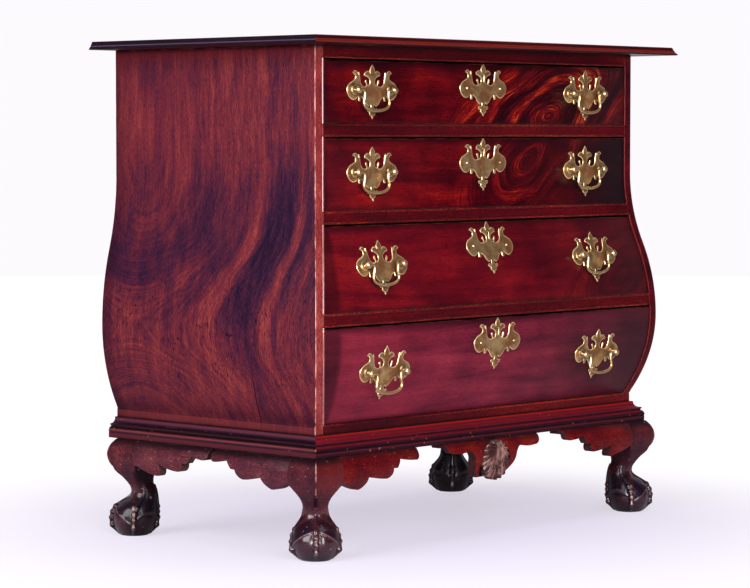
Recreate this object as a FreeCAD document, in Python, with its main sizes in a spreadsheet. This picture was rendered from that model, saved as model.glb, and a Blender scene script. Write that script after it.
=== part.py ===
"""Bombe chest of four drawers with claw-and-ball feet.

Millimetres.  X is the width, the drawers face -Y and Z is up.  The origin lies on the
floor, at the middle of the width and the depth of the top board.
"""
import FreeCAD, Part
import math
import os

from FreeCAD import Placement, Rotation, Vector

doc = FreeCAD.newDocument("bombe_chest")

# ---------------------------------------------------------------------------
# Driving dimensions
# ---------------------------------------------------------------------------
SIZES = [
    # top board
    ("top_width", 940.0),
    ("top_depth", 534.0),
    ("top_thickness", 14.0),
    ("top_overhang", 60.0),
    ("top_edge_setback", 7.5),
    ("top_edge_lip", 2.5),
    # carcase
    ("side_thickness", 19.0),
    ("back_thickness", 12.0),
    ("back_board_gap", 1.0),
    ("floor_thickness", 17.0),
    ("rail_thickness", 21.0),
    ("rail_depth", 62.0),
    ("top_rail_thickness", 20.4),
    ("bottom_rail_depth", 22.0),
    ("bead_radius", 1.75),
    # the swell of the front and sides, measured up from the lowest drawer opening
    ("swell_reach", 34.0),
    ("swell_widest_at", 143.0),
    ("swell_turns_at", 274.0),
    ("swell_ends_at", 399.0),
    # drawers
    ("drawer_1_height", 103.0),
    ("drawer_2_height", 118.0),
    ("drawer_3_height", 139.6),
    ("drawer_4_height", 158.0),
    ("drawer_gap_over", 1.8),
    ("drawer_gap_under", 0.2),
    ("drawer_gap_side", 1.2),
    ("drawer_front_thickness", 24.0),
    ("drawer_side_thickness", 11.0),
    ("drawer_side_drop", 5.0),
    ("drawer_back_thickness", 10.0),
    ("drawer_bottom_thickness", 7.0),
    ("drawer_bottom_raise", 6.0),
    ("drawer_rear_space", 20.0),
    ("runner_width", 26.0),
    ("runner_height", 14.0),
    # base frame, mouldings and aprons
    ("frame_height", 185.0),
    ("plinth_height", 31.0),
    ("strip_height", 16.0),
    ("moulding_height", 35.0),
    ("moulding_reach", 20.0),
    ("moulding_fillet", 2.7),
    ("moulding_cove", 9.5),
    ("moulding_step", 4.0),
    ("moulding_ovolo", 10.8),
    ("apron_reach", 33.0),
    ("apron_swell_radius", 36.0),
    ("apron_widest_drop", 27.0),
    ("apron_round_drop", 47.0),
    ("apron_inset", 8.0),
    ("apron_board", 17.0),
    ("apron_ledge", 8.0),
    ("apron_tuck_drop", 80.0),
    ("back_apron_height", 62.0),
    ("back_apron_thickness", 22.0),
    ("glue_block_width", 24.0),
    ("glue_block_height", 24.0),
    ("glue_block_length", 90.0),
    # legs
    ("leg_block", 32.0),
    ("rear_leg_inset", 43.0),
    ("ball_radius", 37.0),
    ("ball_height", 50.0),
    ("calf_in_ball", 2.0),
    ("foot_pad_radius", 30.0),
    # shell
    ("shell_width", 72.0),
    ("shell_drop", 72.0),
    ("shell_thickness", 9.0),
    ("shell_room", 0.1),
    ("shell_behind", 2.0),
    # brasses
    ("pull_inset", 133.0),
    ("plate_thickness", 1.6),
    ("plate_pin_radius", 1.2),
    ("plate_pin_length", 14.0),
    ("pull_raise", 3.0),
    ("escutcheon_below_edge", 42.5),
    ("post_spacing", 86.0),
    ("post_reach", 11.0),
    ("post_head_radius", 5.6),
    ("post_flange_radius", 8.5),
    ("post_shank_radius", 2.6),
    ("post_shank_clearance", 0.1),
    ("nut_radius", 6.0),
    ("nut_thickness", 3.0),
    ("bail_pin_radius", 1.7),
    ("bail_pin_clearance", 0.06),
    ("bail_radius", 2.4),
    ("bail_drop", 33.6),
    ("bail_half_width", 31.0),
    ("bail_neck_half_width", 28.0),
    ("bail_bend_radius", 4.0),
    ("bail_corner_radius", 9.0),
    ("bail_sweep_drop", 18.0),
    ("bail_end_gap", 0.6),
    # locks
    ("lock_width", 60.0),
    ("lock_height", 44.0),
    ("lock_depth", 13.0),
    ("lock_mortise", 4.0),
    ("keyhole_radius", 2.0),
    ("keyhole_raise", 17.0),
]

sheet = doc.addObject("Spreadsheet::Sheet", "Sizes")
for row, (alias, number) in enumerate(SIZES, start=1):
    sheet.set(f"A{row}", alias)
    sheet.set(f"B{row}", str(number))
    sheet.setAlias(f"B{row}", alias)
doc.recompute()


def value(expression):
    """Number that an expression in the sheet's names stands for."""
    return float(sheet.evalExpression(expression))


def size(alias):
    """Number in the cell with this alias."""
    return float(sheet.get(alias))


# ---------------------------------------------------------------------------
# Places that follow from the sizes, as expressions
# ---------------------------------------------------------------------------
CASE_HALF = "(Sizes.top_width / 2 - Sizes.top_overhang)"
FRONT = "(Sizes.top_overhang - Sizes.top_depth / 2)"
BACK = "(Sizes.top_depth / 2)"
BACK_BOARDS = f"({BACK} - Sizes.back_thickness)"
DRAWER_REAR = f"({BACK_BOARDS} - Sizes.drawer_rear_space)"
FRAME_TOP = "Sizes.frame_height"
LOWEST_OPENING = "(Sizes.frame_height + Sizes.plinth_height)"
MOULDING_BOTTOM = f"({LOWEST_OPENING} - Sizes.strip_height - Sizes.moulding_height)"
NUMBERS = (4, 3, 2, 1)

OPENING_LOW = {}
OPENING_HIGH = {}
level = LOWEST_OPENING
for number in NUMBERS:
    OPENING_LOW[number] = level
    OPENING_HIGH[number] = (
        f"({level} + Sizes.drawer_{number}_height + Sizes.drawer_gap_over + Sizes.drawer_gap_under)"
    )
    level = f"({OPENING_HIGH[number]} + Sizes.rail_thickness)"
CASE_TOP = f"({OPENING_HIGH[1]} + Sizes.top_rail_thickness)"
TOP = f"({CASE_TOP} + Sizes.top_thickness)"

case_half = value(CASE_HALF)
front = value(FRONT)
back = value(BACK)
lowest_opening = value(LOWEST_OPENING)
case_top = value(CASE_TOP)
moulding_bottom = value(MOULDING_BOTTOM)
print("case", round(2 * case_half, 1), "wide, top at", round(value(TOP), 1))


# ---------------------------------------------------------------------------
# The swell: hollow above, round in the middle and tighter below
# ---------------------------------------------------------------------------
swell = size("swell_reach")
widest = lowest_opening + size("swell_widest_at")
turn = lowest_opening + size("swell_turns_at")
straight = lowest_opening + size("swell_ends_at")
# Upper hollow and middle round are tangent arcs, and their radii add up to this.
radii_sum = (swell ** 2 + (straight - widest) ** 2) / (2 * swell)
middle_radius = radii_sum * (turn - widest) / (straight - widest)
hollow_radius = radii_sum - middle_radius
lower_radius = (swell ** 2 + (widest - lowest_opening) ** 2) / (2 * swell)
print("swell radii", round(hollow_radius), round(middle_radius), round(lower_radius))


def swell_at(height):
    """How far the case stands out at a height."""
    if height >= straight or height <= lowest_opening:
        return 0.0
    if height >= turn:
        return hollow_radius - math.sqrt(hollow_radius ** 2 - (straight - height) ** 2)
    radius = middle_radius if height >= widest else lower_radius
    return swell - radius + math.sqrt(radius ** 2 - (height - widest) ** 2)


def swell_tilt(height):
    """Angle in degrees by which the front leans back at a height."""
    step = 0.01
    slope = (swell_at(height + step) - swell_at(height - step)) / (2 * step)
    return math.degrees(math.atan(-slope))


def swell_edges(place, low, high):
    """Edges of the swell from low to high; place(out, height) gives a point."""
    heights = [lowest_opening, widest, turn, straight]
    edges = [Part.makeLine(place(0, low), place(0, lowest_opening))]
    for start, end in zip(heights, heights[1:]):
        middle = (start + end) / 2
        points = [place(swell_at(h), h) for h in (start, middle, end)]
        if start == lowest_opening:
            points[0] = place(0, start)
        edges.append(Part.Arc(*points).toShape())
    edges.append(Part.makeLine(place(0, straight), place(0, high)))
    return edges


def across(inset):
    """Solid between the two sides of the case, each moved in by inset."""
    low, high = 0.0, case_top
    limit = case_half - inset
    right = swell_edges(lambda out, z: Vector(limit + out, front - 200, z), low, high)
    left = swell_edges(lambda out, z: Vector(-limit - out, front - 200, z), low, high)
    ends = [
        Part.makeLine(Vector(-limit, front - 200, z), Vector(limit, front - 200, z))
        for z in (low, high)
    ]
    wire = Part.Wire(Part.__sortEdges__(right + left + ends))
    return Part.Face(wire).extrude(Vector(0, back - front + 200, 0))


def behind(inset):
    """Solid behind the front of the case, which is moved in by inset."""
    low, high = 0.0, case_top
    plane = front + inset
    reach = case_half + 100
    face_edges = swell_edges(lambda out, z: Vector(-reach, plane - out, z), low, high)
    rest = Part.makePolygon([
        Vector(-reach, plane, high), Vector(-reach, back, high),
        Vector(-reach, back, low), Vector(-reach, plane, low),
    ]).Edges
    wire = Part.Wire(Part.__sortEdges__(face_edges + rest))
    return Part.Face(wire).extrude(Vector(2 * reach, 0, 0))


def form(name, shape):
    """Keep a shape that several pieces are cut from."""
    feature = doc.addObject("Part::Feature", name)
    feature.Shape = shape
    return feature


side_thickness = size("side_thickness")
drawer_inset = side_thickness + size("drawer_gap_side")
drawer_inner = drawer_inset + size("drawer_side_thickness")
front_thickness = size("drawer_front_thickness")
case_front = behind(0)
drawer_back_of_front = behind(front_thickness)
between_sides = across(side_thickness)
between_drawer_ends = across(drawer_inset)
between_drawer_sides = across(drawer_inner)

form_sides = form("form_sides", across(0).cut(between_sides).common(case_front))
form_inside = form("form_inside", between_sides.common(case_front))
form_runners = form(
    "form_runners",
    between_sides.cut(across(side_thickness + size("runner_width"))).common(case_front),
)
form_fronts = form("form_fronts", between_drawer_ends.common(case_front).cut(drawer_back_of_front))
form_walls = form(
    "form_walls", between_drawer_ends.cut(between_drawer_sides).common(drawer_back_of_front)
)
form_drawer_inside = form("form_drawer_inside", between_drawer_sides.common(drawer_back_of_front))

# ---------------------------------------------------------------------------
# Helpers for the pieces
# ---------------------------------------------------------------------------
PIECES = []
WIDE = "(Sizes.top_width)"


def block(name, low, high):
    """Box between two corners; each corner is three expressions."""
    box = doc.addObject("Part::Box", name)
    for name_of_side, start, end in zip(("Length", "Width", "Height"), low, high):
        box.setExpression(name_of_side, f"({end}) - ({start})")
    for axis, start in zip("xyz", low):
        box.setExpression(f"Placement.Base.{axis}", f"{start}")
    return box


def slab(name, low, high, y_low=f"({FRONT} - 100)", y_high=BACK):
    """Box across the whole case between two heights."""
    return block(name, (f"-{WIDE}", y_low, low), (WIDE, y_high, high))


def common(name, *shapes):
    """Piece that lies in all of the shapes."""
    piece = doc.addObject("Part::MultiCommon", name)
    piece.Shapes = list(shapes)
    return piece


def cut(name, base, tool):
    """Base with the tool taken away."""
    piece = doc.addObject("Part::Cut", name)
    piece.Base = base
    piece.Tool = tool
    return piece


def fuse(name, *shapes):
    """Shapes joined into one."""
    piece = doc.addObject("Part::MultiFuse", name)
    piece.Shapes = list(shapes)
    return piece


def gather(name, *shapes):
    """Separate solids kept under one name."""
    piece = doc.addObject("Part::Compound", name)
    piece.Links = list(shapes)
    return piece


def keep(piece, name):
    """Mark an object as a sub-part and label it with its file's name."""
    piece.Label = name
    PIECES.append(piece)
    return piece


def new_body(name):
    """Empty PartDesign body."""
    return doc.addObject("PartDesign::Body", name)


def sketch_on(body, name, role, geometry):
    """Sketch of joined lines and arcs on one of the body's own planes."""
    sketch = body.newObject("Sketcher::SketchObject", name)
    plane = [feature for feature in body.Origin.OriginFeatures if feature.Role == role][0]
    sketch.AttachmentSupport = [(plane, "")]
    sketch.MapMode = "FlatFace"
    sketch.addGeometry(geometry, False)
    return sketch


def arc(start, middle, end):
    """Arc through three points, for a sketch or a wire."""
    return Part.Arc(Vector(*start), Vector(*middle), Vector(*end))


def line(start, end):
    """Straight line, for a sketch or a wire."""
    return Part.LineSegment(Vector(*start), Vector(*end))


def chain(points):
    """Lines and arcs through 2D points; a point given as ("arc", via, end) is an arc."""
    geometry = []
    start = points[0]
    for step in points[1:]:
        if step[0] == "arc":
            via, end = step[1], step[2]
            geometry.append(arc((*start, 0), (*via, 0), (*end, 0)))
        else:
            end = step
            geometry.append(line((*start, 0), (*end, 0)))
        start = end
    return geometry


# ---------------------------------------------------------------------------
# Top board: thin, with a quarter-oval edge on the front and the two ends
# ---------------------------------------------------------------------------
def top_board():
    """Two moulded lengths that cross, so that the corners are mitred."""
    half, near = size("top_width") / 2, -size("top_depth") / 2
    low, high = case_top, case_top + size("top_thickness")
    lip, setback = low + size("top_edge_lip"), size("top_edge_setback")
    # The edge is an arc that leaves the lip upright.
    rise = high - lip
    edge_radius = (setback ** 2 + rise ** 2) / (2 * setback)
    half_turn = math.asin(rise / edge_radius) / 2
    via_in, via_up = edge_radius * (1 - math.cos(half_turn)), edge_radius * math.sin(half_turn)
    ends = chain([
        (-half, low), (half, low), (half, lip),
        ("arc", (half - via_in, lip + via_up), (half - setback, high)), (-half + setback, high),
        ("arc", (-half + via_in, lip + via_up), (-half, lip)), (-half, low),
    ])
    profile = chain([
        (near, low), (back, low), (back, high), (near + setback, high),
        ("arc", (near + via_in, lip + via_up), (near, lip)), (near, low),
    ])
    ends_body = new_body("top_ends")
    ends_sketch = sketch_on(ends_body, "top_ends_sketch", "XZ_Plane", ends)
    ends_pad = ends_body.newObject("PartDesign::Pad", "top_ends_pad")
    ends_pad.Profile = ends_sketch
    ends_pad.Midplane = True
    ends_pad.setExpression("Length", "Sizes.top_depth + 4")
    front_body = new_body("top_front")
    front_sketch = sketch_on(front_body, "top_front_sketch", "YZ_Plane", profile)
    front_pad = front_body.newObject("PartDesign::Pad", "top_front_pad")
    front_pad.Profile = front_sketch
    front_pad.Midplane = True
    front_pad.setExpression("Length", "Sizes.top_width + 4")
    keep(common("top_board_solid", ends_body, front_body), "top_board")


top_board()

# ---------------------------------------------------------------------------
# Carcase: sides, rails between the drawers, floor, back and runners
# ---------------------------------------------------------------------------
bead_radius = size("bead_radius")


def bead_strip():
    """Raised strip along the inner edge of both sides' fronts."""
    width, proud = 1.5 * bead_radius, 0.7 * bead_radius
    edge = across(side_thickness - width).cut(between_sides)
    return edge.common(behind(-proud).cut(case_front))


strips = bead_strip()
for side, name in ((-1, "left"), (1, "right")):
    start, end = ("-" + WIDE, "0") if side < 0 else ("0", WIDE)
    stock = block(f"side_{name}_stock", (start, f"{FRONT} - 100", FRAME_TOP), (end, BACK, CASE_TOP))
    board = common(f"side_{name}_board", stock, form_sides)
    openings = [
        block(
            f"side_{name}_opening_{number}",
            (start, f"{FRONT} - 100", OPENING_LOW[number]), (end, BACK, OPENING_HIGH[number]),
        )
        for number in NUMBERS
    ]
    strip_form = form(f"side_{name}_strip_form", strips.copy())
    lengths = [
        common(f"side_{name}_bead_{number}", opening, strip_form)
        for number, opening in zip(NUMBERS, openings)
    ]
    keep(fuse(f"side_{name}_solid", board, *lengths), f"side_{name}")


def rail_bead(name, height, inset):
    """Round bead along the front edge of a rail, centred at a height."""
    bead = doc.addObject("Part::Cylinder", name)
    bead.setExpression("Radius", "Sizes.bead_radius")
    out = swell_at(height)
    length = 2 * (case_half - inset + out)
    bead.Height = length
    bead.Placement = Placement(
        Vector(-length / 2, front - out, height), Rotation(Vector(0, 1, 0), 90)
    )
    return bead


def rail(name, low, high, y_high, beads):
    """Rail between the sides with its front shaped to the swell and beaded edges."""
    board = common(f"{name}_board", slab(f"{name}_stock", low, high, y_high=y_high), form_inside)
    parts = [board]
    for edge in beads:
        height = value(high) - bead_radius if edge == "upper" else value(low) + bead_radius
        parts.append(rail_bead(f"{name}_{edge}_bead", height, side_thickness))
    keep(fuse(f"{name}_solid", *parts), name)


RAIL_BACK = f"({FRONT} + Sizes.rail_depth)"
rail("top_rail", OPENING_HIGH[1], CASE_TOP, RAIL_BACK, ["lower"])
for number in (1, 2, 3):
    rail(
        f"divider_{number}", OPENING_HIGH[number + 1], OPENING_LOW[number], RAIL_BACK,
        ["upper", "lower"],
    )
rail(
    "bottom_rail", FRAME_TOP, LOWEST_OPENING, f"({FRONT} + Sizes.bottom_rail_depth)", ["upper"]
)

floor_stock = slab(
    "floor_stock", FRAME_TOP, f"{FRAME_TOP} + Sizes.floor_thickness",
    f"({FRONT} + Sizes.bottom_rail_depth)", BACK_BOARDS,
)
keep(common("floor_solid", floor_stock, form_inside), "bottom_board")

BACK_BOARD_COUNT = 3
board_height = f"(({CASE_TOP}) - ({FRAME_TOP})) / {BACK_BOARD_COUNT}"
back_slabs = []
for index in range(BACK_BOARD_COUNT):
    low = f"{FRAME_TOP} + {index} * {board_height}"
    gap = "0" if index == BACK_BOARD_COUNT - 1 else "Sizes.back_board_gap"
    high = f"{FRAME_TOP} + {index + 1} * {board_height} - {gap}"
    stock = slab(f"back_stock_{index + 1}", low, high, BACK_BOARDS, BACK)
    back_slabs.append(common(f"back_board_{index + 1}", stock, form_inside))
keep(gather("back_boards_all", *back_slabs), "back_boards")

runner_lengths = []
for number in NUMBERS:
    y_start = RAIL_BACK if number != 4 else f"({FRONT} + Sizes.bottom_rail_depth)"
    stock = slab(
        f"runner_stock_{number}", f"{OPENING_LOW[number]} - Sizes.runner_height",
        OPENING_LOW[number], y_start, BACK_BOARDS,
    )
    runner_lengths.append(common(f"runner_pair_{number}", stock, form_runners))
keep(gather("runners_all", *runner_lengths), "drawer_runners")

# ---------------------------------------------------------------------------
# Base moulding: fillet, cove, step and ovolo, mitred at the front corners
# ---------------------------------------------------------------------------
moulding_top = moulding_bottom + size("moulding_height")
reach = size("moulding_reach")


def moulding_points():
    """Outline of the moulding as distance out from the case and height."""
    fillet_out, cove_out, step_out = 0.2 * reach, 0.55 * reach, 0.74 * reach
    below_fillet = moulding_top - size("moulding_fillet")
    below_cove = below_fillet - size("moulding_cove")
    below_step = below_cove - size("moulding_step")
    below_ovolo = below_step - size("moulding_ovolo")
    cove_via = (fillet_out + 0.3 * (cove_out - fillet_out), below_fillet - 0.7 * size("moulding_cove"))
    ovolo_via = (
        step_out + 0.72 * (reach - step_out),
        below_step - 0.42 * size("moulding_ovolo"),
    )
    return [
        (0, moulding_bottom), (0, moulding_top), (fillet_out, moulding_top),
        (fillet_out, below_fillet), ("arc", cove_via, (cove_out, below_cove)),
        (step_out, below_cove), (step_out, below_step),
        ("arc", ovolo_via, (reach, below_ovolo)), (reach, moulding_bottom), (0, moulding_bottom),
    ]


def mirrored(points, sign, shift):
    """The same outline on the side where out points along sign."""
    result = []
    for step in points:
        if step[0] == "arc":
            pair = [(shift + sign * p[0], p[1]) for p in step[1:]]
            result.append(("arc", *pair))
        else:
            result.append((shift + sign * step[0], step[1]))
    return result


def corner_sector(name, corners):
    """Upright prism over a plan outline, which cuts the mitres."""
    points = [Vector(x, y, 0) for x, y in corners]
    wire = Part.makePolygon(points + points[:1])
    return form(name, Part.Face(wire).extrude(Vector(0, 0, case_top)))


far = case_half + 80
near = front - 80
front_sector = corner_sector(
    "front_sector", [(-case_half, front), (case_half, front), (far, near), (-far, near)]
)
side_sectors = {
    sign: corner_sector(
        f"side_sector_{name}",
        [(sign * case_half, front), (sign * far, near), (sign * far, back), (sign * case_half, back)],
    )
    for sign, name in ((-1, "left"), (1, "right"))
}


def profiled_length(name, role, points, length_expression):
    """Length of a profile, padded both ways from the middle plane."""
    body = new_body(f"{name}_length")
    sketch = sketch_on(body, f"{name}_profile", role, chain(points))
    pad = body.newObject("PartDesign::Pad", f"{name}_pad")
    pad.Profile = sketch
    pad.Midplane = True
    pad.setExpression("Length", length_expression)
    return body


moulding_run = profiled_length(
    "moulding_front", "YZ_Plane", mirrored(moulding_points(), -1, front), "2 * Sizes.top_width"
)
keep(common("moulding_front_solid", moulding_run, front_sector), "moulding_front")
for sign, name in ((-1, "left"), (1, "right")):
    moulding_run = profiled_length(
        f"moulding_{name}", "XZ_Plane", mirrored(moulding_points(), sign, sign * case_half),
        "2 * Sizes.top_depth",
    )
    keep(common(f"moulding_{name}_solid", moulding_run, side_sectors[sign]), f"moulding_{name}")

# ---------------------------------------------------------------------------
# Aprons: swelled boards with a scalloped lower edge, between the legs
# ---------------------------------------------------------------------------
leg_block = size("leg_block")
apron_reach = size("apron_reach")
swell_radius = size("apron_swell_radius")
apron_widest = moulding_bottom - size("apron_widest_drop")


def apron_swell(height):
    """How far aprons and knees stand out from the case at a height."""
    return apron_reach - swell_radius + math.sqrt(swell_radius ** 2 - (height - apron_widest) ** 2)


def apron_profile():
    """Section of an apron as distance out from the case and height."""
    round_end = moulding_bottom - size("apron_round_drop")
    tuck_end = moulding_bottom - size("apron_tuck_drop")
    slope = (apron_widest - round_end) / math.sqrt(swell_radius ** 2 - (apron_widest - round_end) ** 2)
    tucked = apron_swell(round_end) - slope * (round_end - tuck_end)
    inner, board = -size("apron_inset"), size("apron_board")
    ledge = moulding_bottom - size("apron_ledge")
    return [
        (inner, size("frame_height")), (0, size("frame_height")), (0, moulding_bottom),
        (apron_swell(moulding_bottom), moulding_bottom),
        ("arc", (apron_reach, apron_widest), (apron_swell(round_end), round_end)),
        (tucked, tuck_end), (tucked - board, tuck_end),
        (apron_swell(round_end) - board, round_end), (apron_reach - board, apron_widest),
        (apron_reach - board, ledge), (inner, ledge), (inner, size("frame_height")),
    ]


# Scallops measured from the leg: distance along the apron and drop below the moulding.
FRONT_SCALLOPS = [
    (187, 0), (185, 10), ("arc", (181.5, 16), (172, 17.9)), ("arc", (155, 16.8), (137.5, 12.4)),
    ("arc", (134, 20), (128, 27.8)), (119, 27.4), ("arc", (116, 39), (107, 43.9)),
    ("arc", (84, 41.5), (60, 35.6)), ("arc", (58, 50), (47, 57.9)), ("arc", (24, 51), (3, 42.2)),
    (0, 42.5),
]
SIDE_SCALLOPS = [
    (179, 0), (179, 11), ("arc", (177, 17), (171, 19.9)), ("arc", (156, 18.5), (141.5, 14.5)),
    ("arc", (136, 22), (130, 28.5)), (121, 29), ("arc", (115, 40), (106, 44.3)),
    ("arc", (86, 42), (63, 33.8)), ("arc", (58.5, 48), (47, 56.8)), ("arc", (28, 53), (7, 42.6)),
    (0, 43),
]
# Middle drop that carries the shell, measured from the middle of the front.
MIDDLE_DROP = [
    (0, 64), (34, 64), ("arc", (46, 50), (53, 32)), ("arc", (58, 20), (66, 14.5)),
    ("arc", (86, 18), (104, 16.8)), ("arc", (117, 12), (122, 0)),
]


def apron_outline(half, scallops, middle_part):
    """Closed outline of half an apron as distance from its middle and height."""
    outline = []
    for step in middle_part:
        if step[0] == "arc":
            outline.append(("arc", *[(p[0], moulding_bottom - p[1]) for p in step[1:]]))
        else:
            outline.append((step[0], moulding_bottom - step[1]))
    for step in scallops:
        if step[0] == "arc":
            outline.append(("arc", *[(half - p[0], moulding_bottom - p[1]) for p in step[1:]]))
        else:
            outline.append((half - step[0], moulding_bottom - step[1]))
    frame_top = size("frame_height")
    return outline + [(half, frame_top), (0, frame_top), outline[0]]


def outline_prism(name, outline, middle, along):
    """Prism of a half outline and its mirror image, square to the direction along."""
    halves = []
    for sign in (-1, 1):
        edges = [piece.toShape() for piece in chain(mirrored(outline, sign, middle))]
        half = Part.Face(Part.Wire(Part.__sortEdges__(edges)))
        if along == "X":
            half.Placement = Placement(Vector(0, front - 100, 0), Rotation(Vector(1, 0, 0), 90))
            halves.append(half.extrude(Vector(0, 200, 0)))
        else:
            turned = Rotation(Vector(1, 1, 1), 120)
            half.Placement = Placement(Vector(-far, 0, 0), turned)
            halves.append(half.extrude(Vector(2 * far, 0, 0)))
    return form(name, halves[0].fuse(halves[1]).removeSplitter())


front_half = case_half - leg_block
front_apron_outline = apron_outline(front_half, FRONT_SCALLOPS, MIDDLE_DROP)
front_run = profiled_length(
    "apron_front", "YZ_Plane", mirrored(apron_profile(), -1, front), "2 * Sizes.top_width"
)
front_shape = outline_prism("apron_front_outline", front_apron_outline, 0, "X")
front_board = common("apron_front_board", front_run, front_shape)

# ---------------------------------------------------------------------------
# Shell: an oval block let into the apron, with ribs that fan from its hinge
# ---------------------------------------------------------------------------
SHELL_RIBS = 11
shell_half = size("shell_width") / 2
shell_middle = moulding_bottom - size("shell_drop") / 2
shell_face = front - apron_reach + 4


def shell_oval(room, y_front):
    """Upright oval prism, from behind the apron to y_front, cut off below the moulding."""
    half_height = size("shell_drop") / 2 + 2
    y_back = front - apron_reach + size("apron_board") + size("shell_behind")
    oval = Part.Ellipse(Vector(0, 0, 0), half_height + room, shell_half + room).toShape()
    face = Part.Face(Part.Wire(oval))
    face.rotate(Vector(0, 0, 0), Vector(0, 0, 1), 90)
    face.rotate(Vector(0, 0, 0), Vector(1, 0, 0), 90)
    face.translate(Vector(0, y_back, shell_middle - 2))
    prism = face.extrude(Vector(0, y_front - y_back, 0))
    head = Part.makeBox(4 * shell_half, 200, 100, Vector(-2 * shell_half, front - 100, moulding_bottom))
    return prism.cut(head)


def shell_ribs():
    """Tapered ribs from the hinge to the rim, round at their ends."""
    hinge = Vector(0, shell_face + 1, moulding_bottom - 0.28 * size("shell_drop"))
    half_height = size("shell_drop") / 2
    ribs = []
    for index in range(SHELL_RIBS):
        angle = math.radians(115 * (2 * index / (SHELL_RIBS - 1) - 1))
        across_rim = (shell_half - 4) * math.sin(angle)
        down_rim = shell_middle - half_height + 4 + half_height * (1 - math.cos(angle))
        rim = Vector(across_rim, shell_face - 1, down_rim)
        spread = math.pi * shell_half / SHELL_RIBS * 0.62
        ribs.append(Part.makeCone(1.6, spread, (rim - hinge).Length, hinge, rim - hinge))
        ribs.append(Part.makeSphere(spread, rim))
    umbo = Part.makeSphere(7.5, hinge + Vector(0, 2, 4))
    return ribs, umbo


ribs, umbo = shell_ribs()
shell_reach = shell_face - size("shell_thickness")
carving = ribs[0].fuse(ribs[1:] + [umbo]).common(shell_oval(0, shell_reach))
shell_shape = shell_oval(0, shell_face).fuse(carving).removeSplitter()
print("shell solids", len(shell_shape.Solids))
keep(form("shell_solid", shell_shape), "shell_pendant")
socket = form("shell_socket", shell_oval(size("shell_room"), shell_reach))
keep(cut("apron_front_solid", front_board, socket), "apron_front")

# The balls of the rear feet are flush with the back.
rear_leg = back - size("rear_leg_inset")
side_middle = ((front + leg_block) + (rear_leg - leg_block)) / 2
side_half = ((rear_leg - leg_block) - (front + leg_block)) / 2
side_apron_outline = apron_outline(side_half, SIDE_SCALLOPS, [(0, 0)])
side_shape = outline_prism("apron_side_outline", side_apron_outline, side_middle, "Y")
for sign, name in ((-1, "left"), (1, "right")):
    side_run = profiled_length(
        f"apron_{name}", "XZ_Plane", mirrored(apron_profile(), sign, sign * case_half),
        "2 * Sizes.top_depth",
    )
    keep(common(f"apron_{name}_solid", side_run, side_shape), f"apron_{name}")

LEG_INNER = f"({CASE_HALF} - Sizes.leg_block)"
keep(
    block(
        "back_apron_solid",
        (f"-{LEG_INNER}", f"{BACK} - Sizes.back_apron_thickness", f"{FRAME_TOP} - Sizes.back_apron_height"),
        (LEG_INNER, BACK, FRAME_TOP),
    ),
    "apron_back",
)

BLOCK_FRONT = f"({FRONT} + Sizes.apron_inset)"
BLOCK_SIDE = f"({CASE_HALF} - Sizes.apron_inset)"
blocks = []
for index, middle in enumerate(("-0.62", "0", "0.62"), start=1):
    centre = f"({middle} * {CASE_HALF})"
    blocks.append(block(
        f"glue_block_front_{index}",
        (f"{centre} - Sizes.glue_block_length / 2", BLOCK_FRONT, f"{FRAME_TOP} - Sizes.glue_block_height"),
        (f"{centre} + Sizes.glue_block_length / 2", f"{BLOCK_FRONT} + Sizes.glue_block_width", FRAME_TOP),
    ))
for sign, name in (("-", "left"), ("", "right")):
    edges = sorted(
        (f"{sign}{BLOCK_SIDE}", f"{sign}({BLOCK_SIDE} - Sizes.glue_block_width)"), key=value
    )
    for index, middle in enumerate(("-100", "100"), start=1):
        blocks.append(block(
            f"glue_block_{name}_{index}",
            (edges[0], f"{middle} - Sizes.glue_block_length / 2", f"{FRAME_TOP} - Sizes.glue_block_height"),
            (edges[1], f"{middle} + Sizes.glue_block_length / 2", FRAME_TOP),
        ))
keep(gather("glue_blocks_all", *blocks), "glue_blocks")


# ---------------------------------------------------------------------------
# Legs: square knee that follows the aprons, round ankle, claws that grip a ball
# ---------------------------------------------------------------------------
def rounded_square(height, outer, inner, outer_r, side_r, inner_r):
    """Square section from -inner to outer on both axes, with its own corner radii."""
    corners = [
        (outer, outer, outer_r), (-inner, outer, side_r), (-inner, -inner, inner_r),
        (outer, -inner, side_r),
    ]
    toward = [(-1, -1), (1, -1), (1, 1), (-1, 1)]
    ends = []
    for (x, y, radius), (dx, dy), first_along_x in zip(corners, toward, (False, True, False, True)):
        along_x = (x + dx * radius, y)
        along_y = (x, y + dy * radius)
        bulge = radius * (1 - math.sqrt(0.5))
        via = (x + dx * bulge, y + dy * bulge)
        pair = (along_x, along_y) if first_along_x else (along_y, along_x)
        ends.append((pair[0], via, pair[1]))
    edges = []
    for index, (first, via, last) in enumerate(ends):
        edges.append(arc((*first, height), (*via, height), (*last, height)).toShape())
        following = ends[(index + 1) % 4][0]
        edges.append(line((*last, height), (*following, height)).toShape())
    return Part.Wire(edges)


# Way down from the knee, reach to the corner, reach inwards and the corner radii.  The
# last section lies in the ball, and the others are spaced in proportion.
CALF_SECTIONS = [
    (0, None, 31.8, 0.6, 1.5, 1.5),
    (10, 22.8, 28.6, 3.0, 9.0, 9.0),
    (19, 16.2, 27.2, 6.0, 12.0, 12.0),
    (28, 11.8, 27.0, 10.0, 13.5, 13.0),
    (37, 8.4, 29.8, 14.0, 15.5, 15.0),
    (46, 7.4, 31.8, 15.0, 16.0, 15.5),
    (55, 9.4, 33.2, 15.5, 17.0, 16.0),
    (64, 14.0, 33.2, 15.5, 18.0, 16.0),
    (70, 18.0, 31.0, 16.0, 19.0, 16.0),
]
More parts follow.
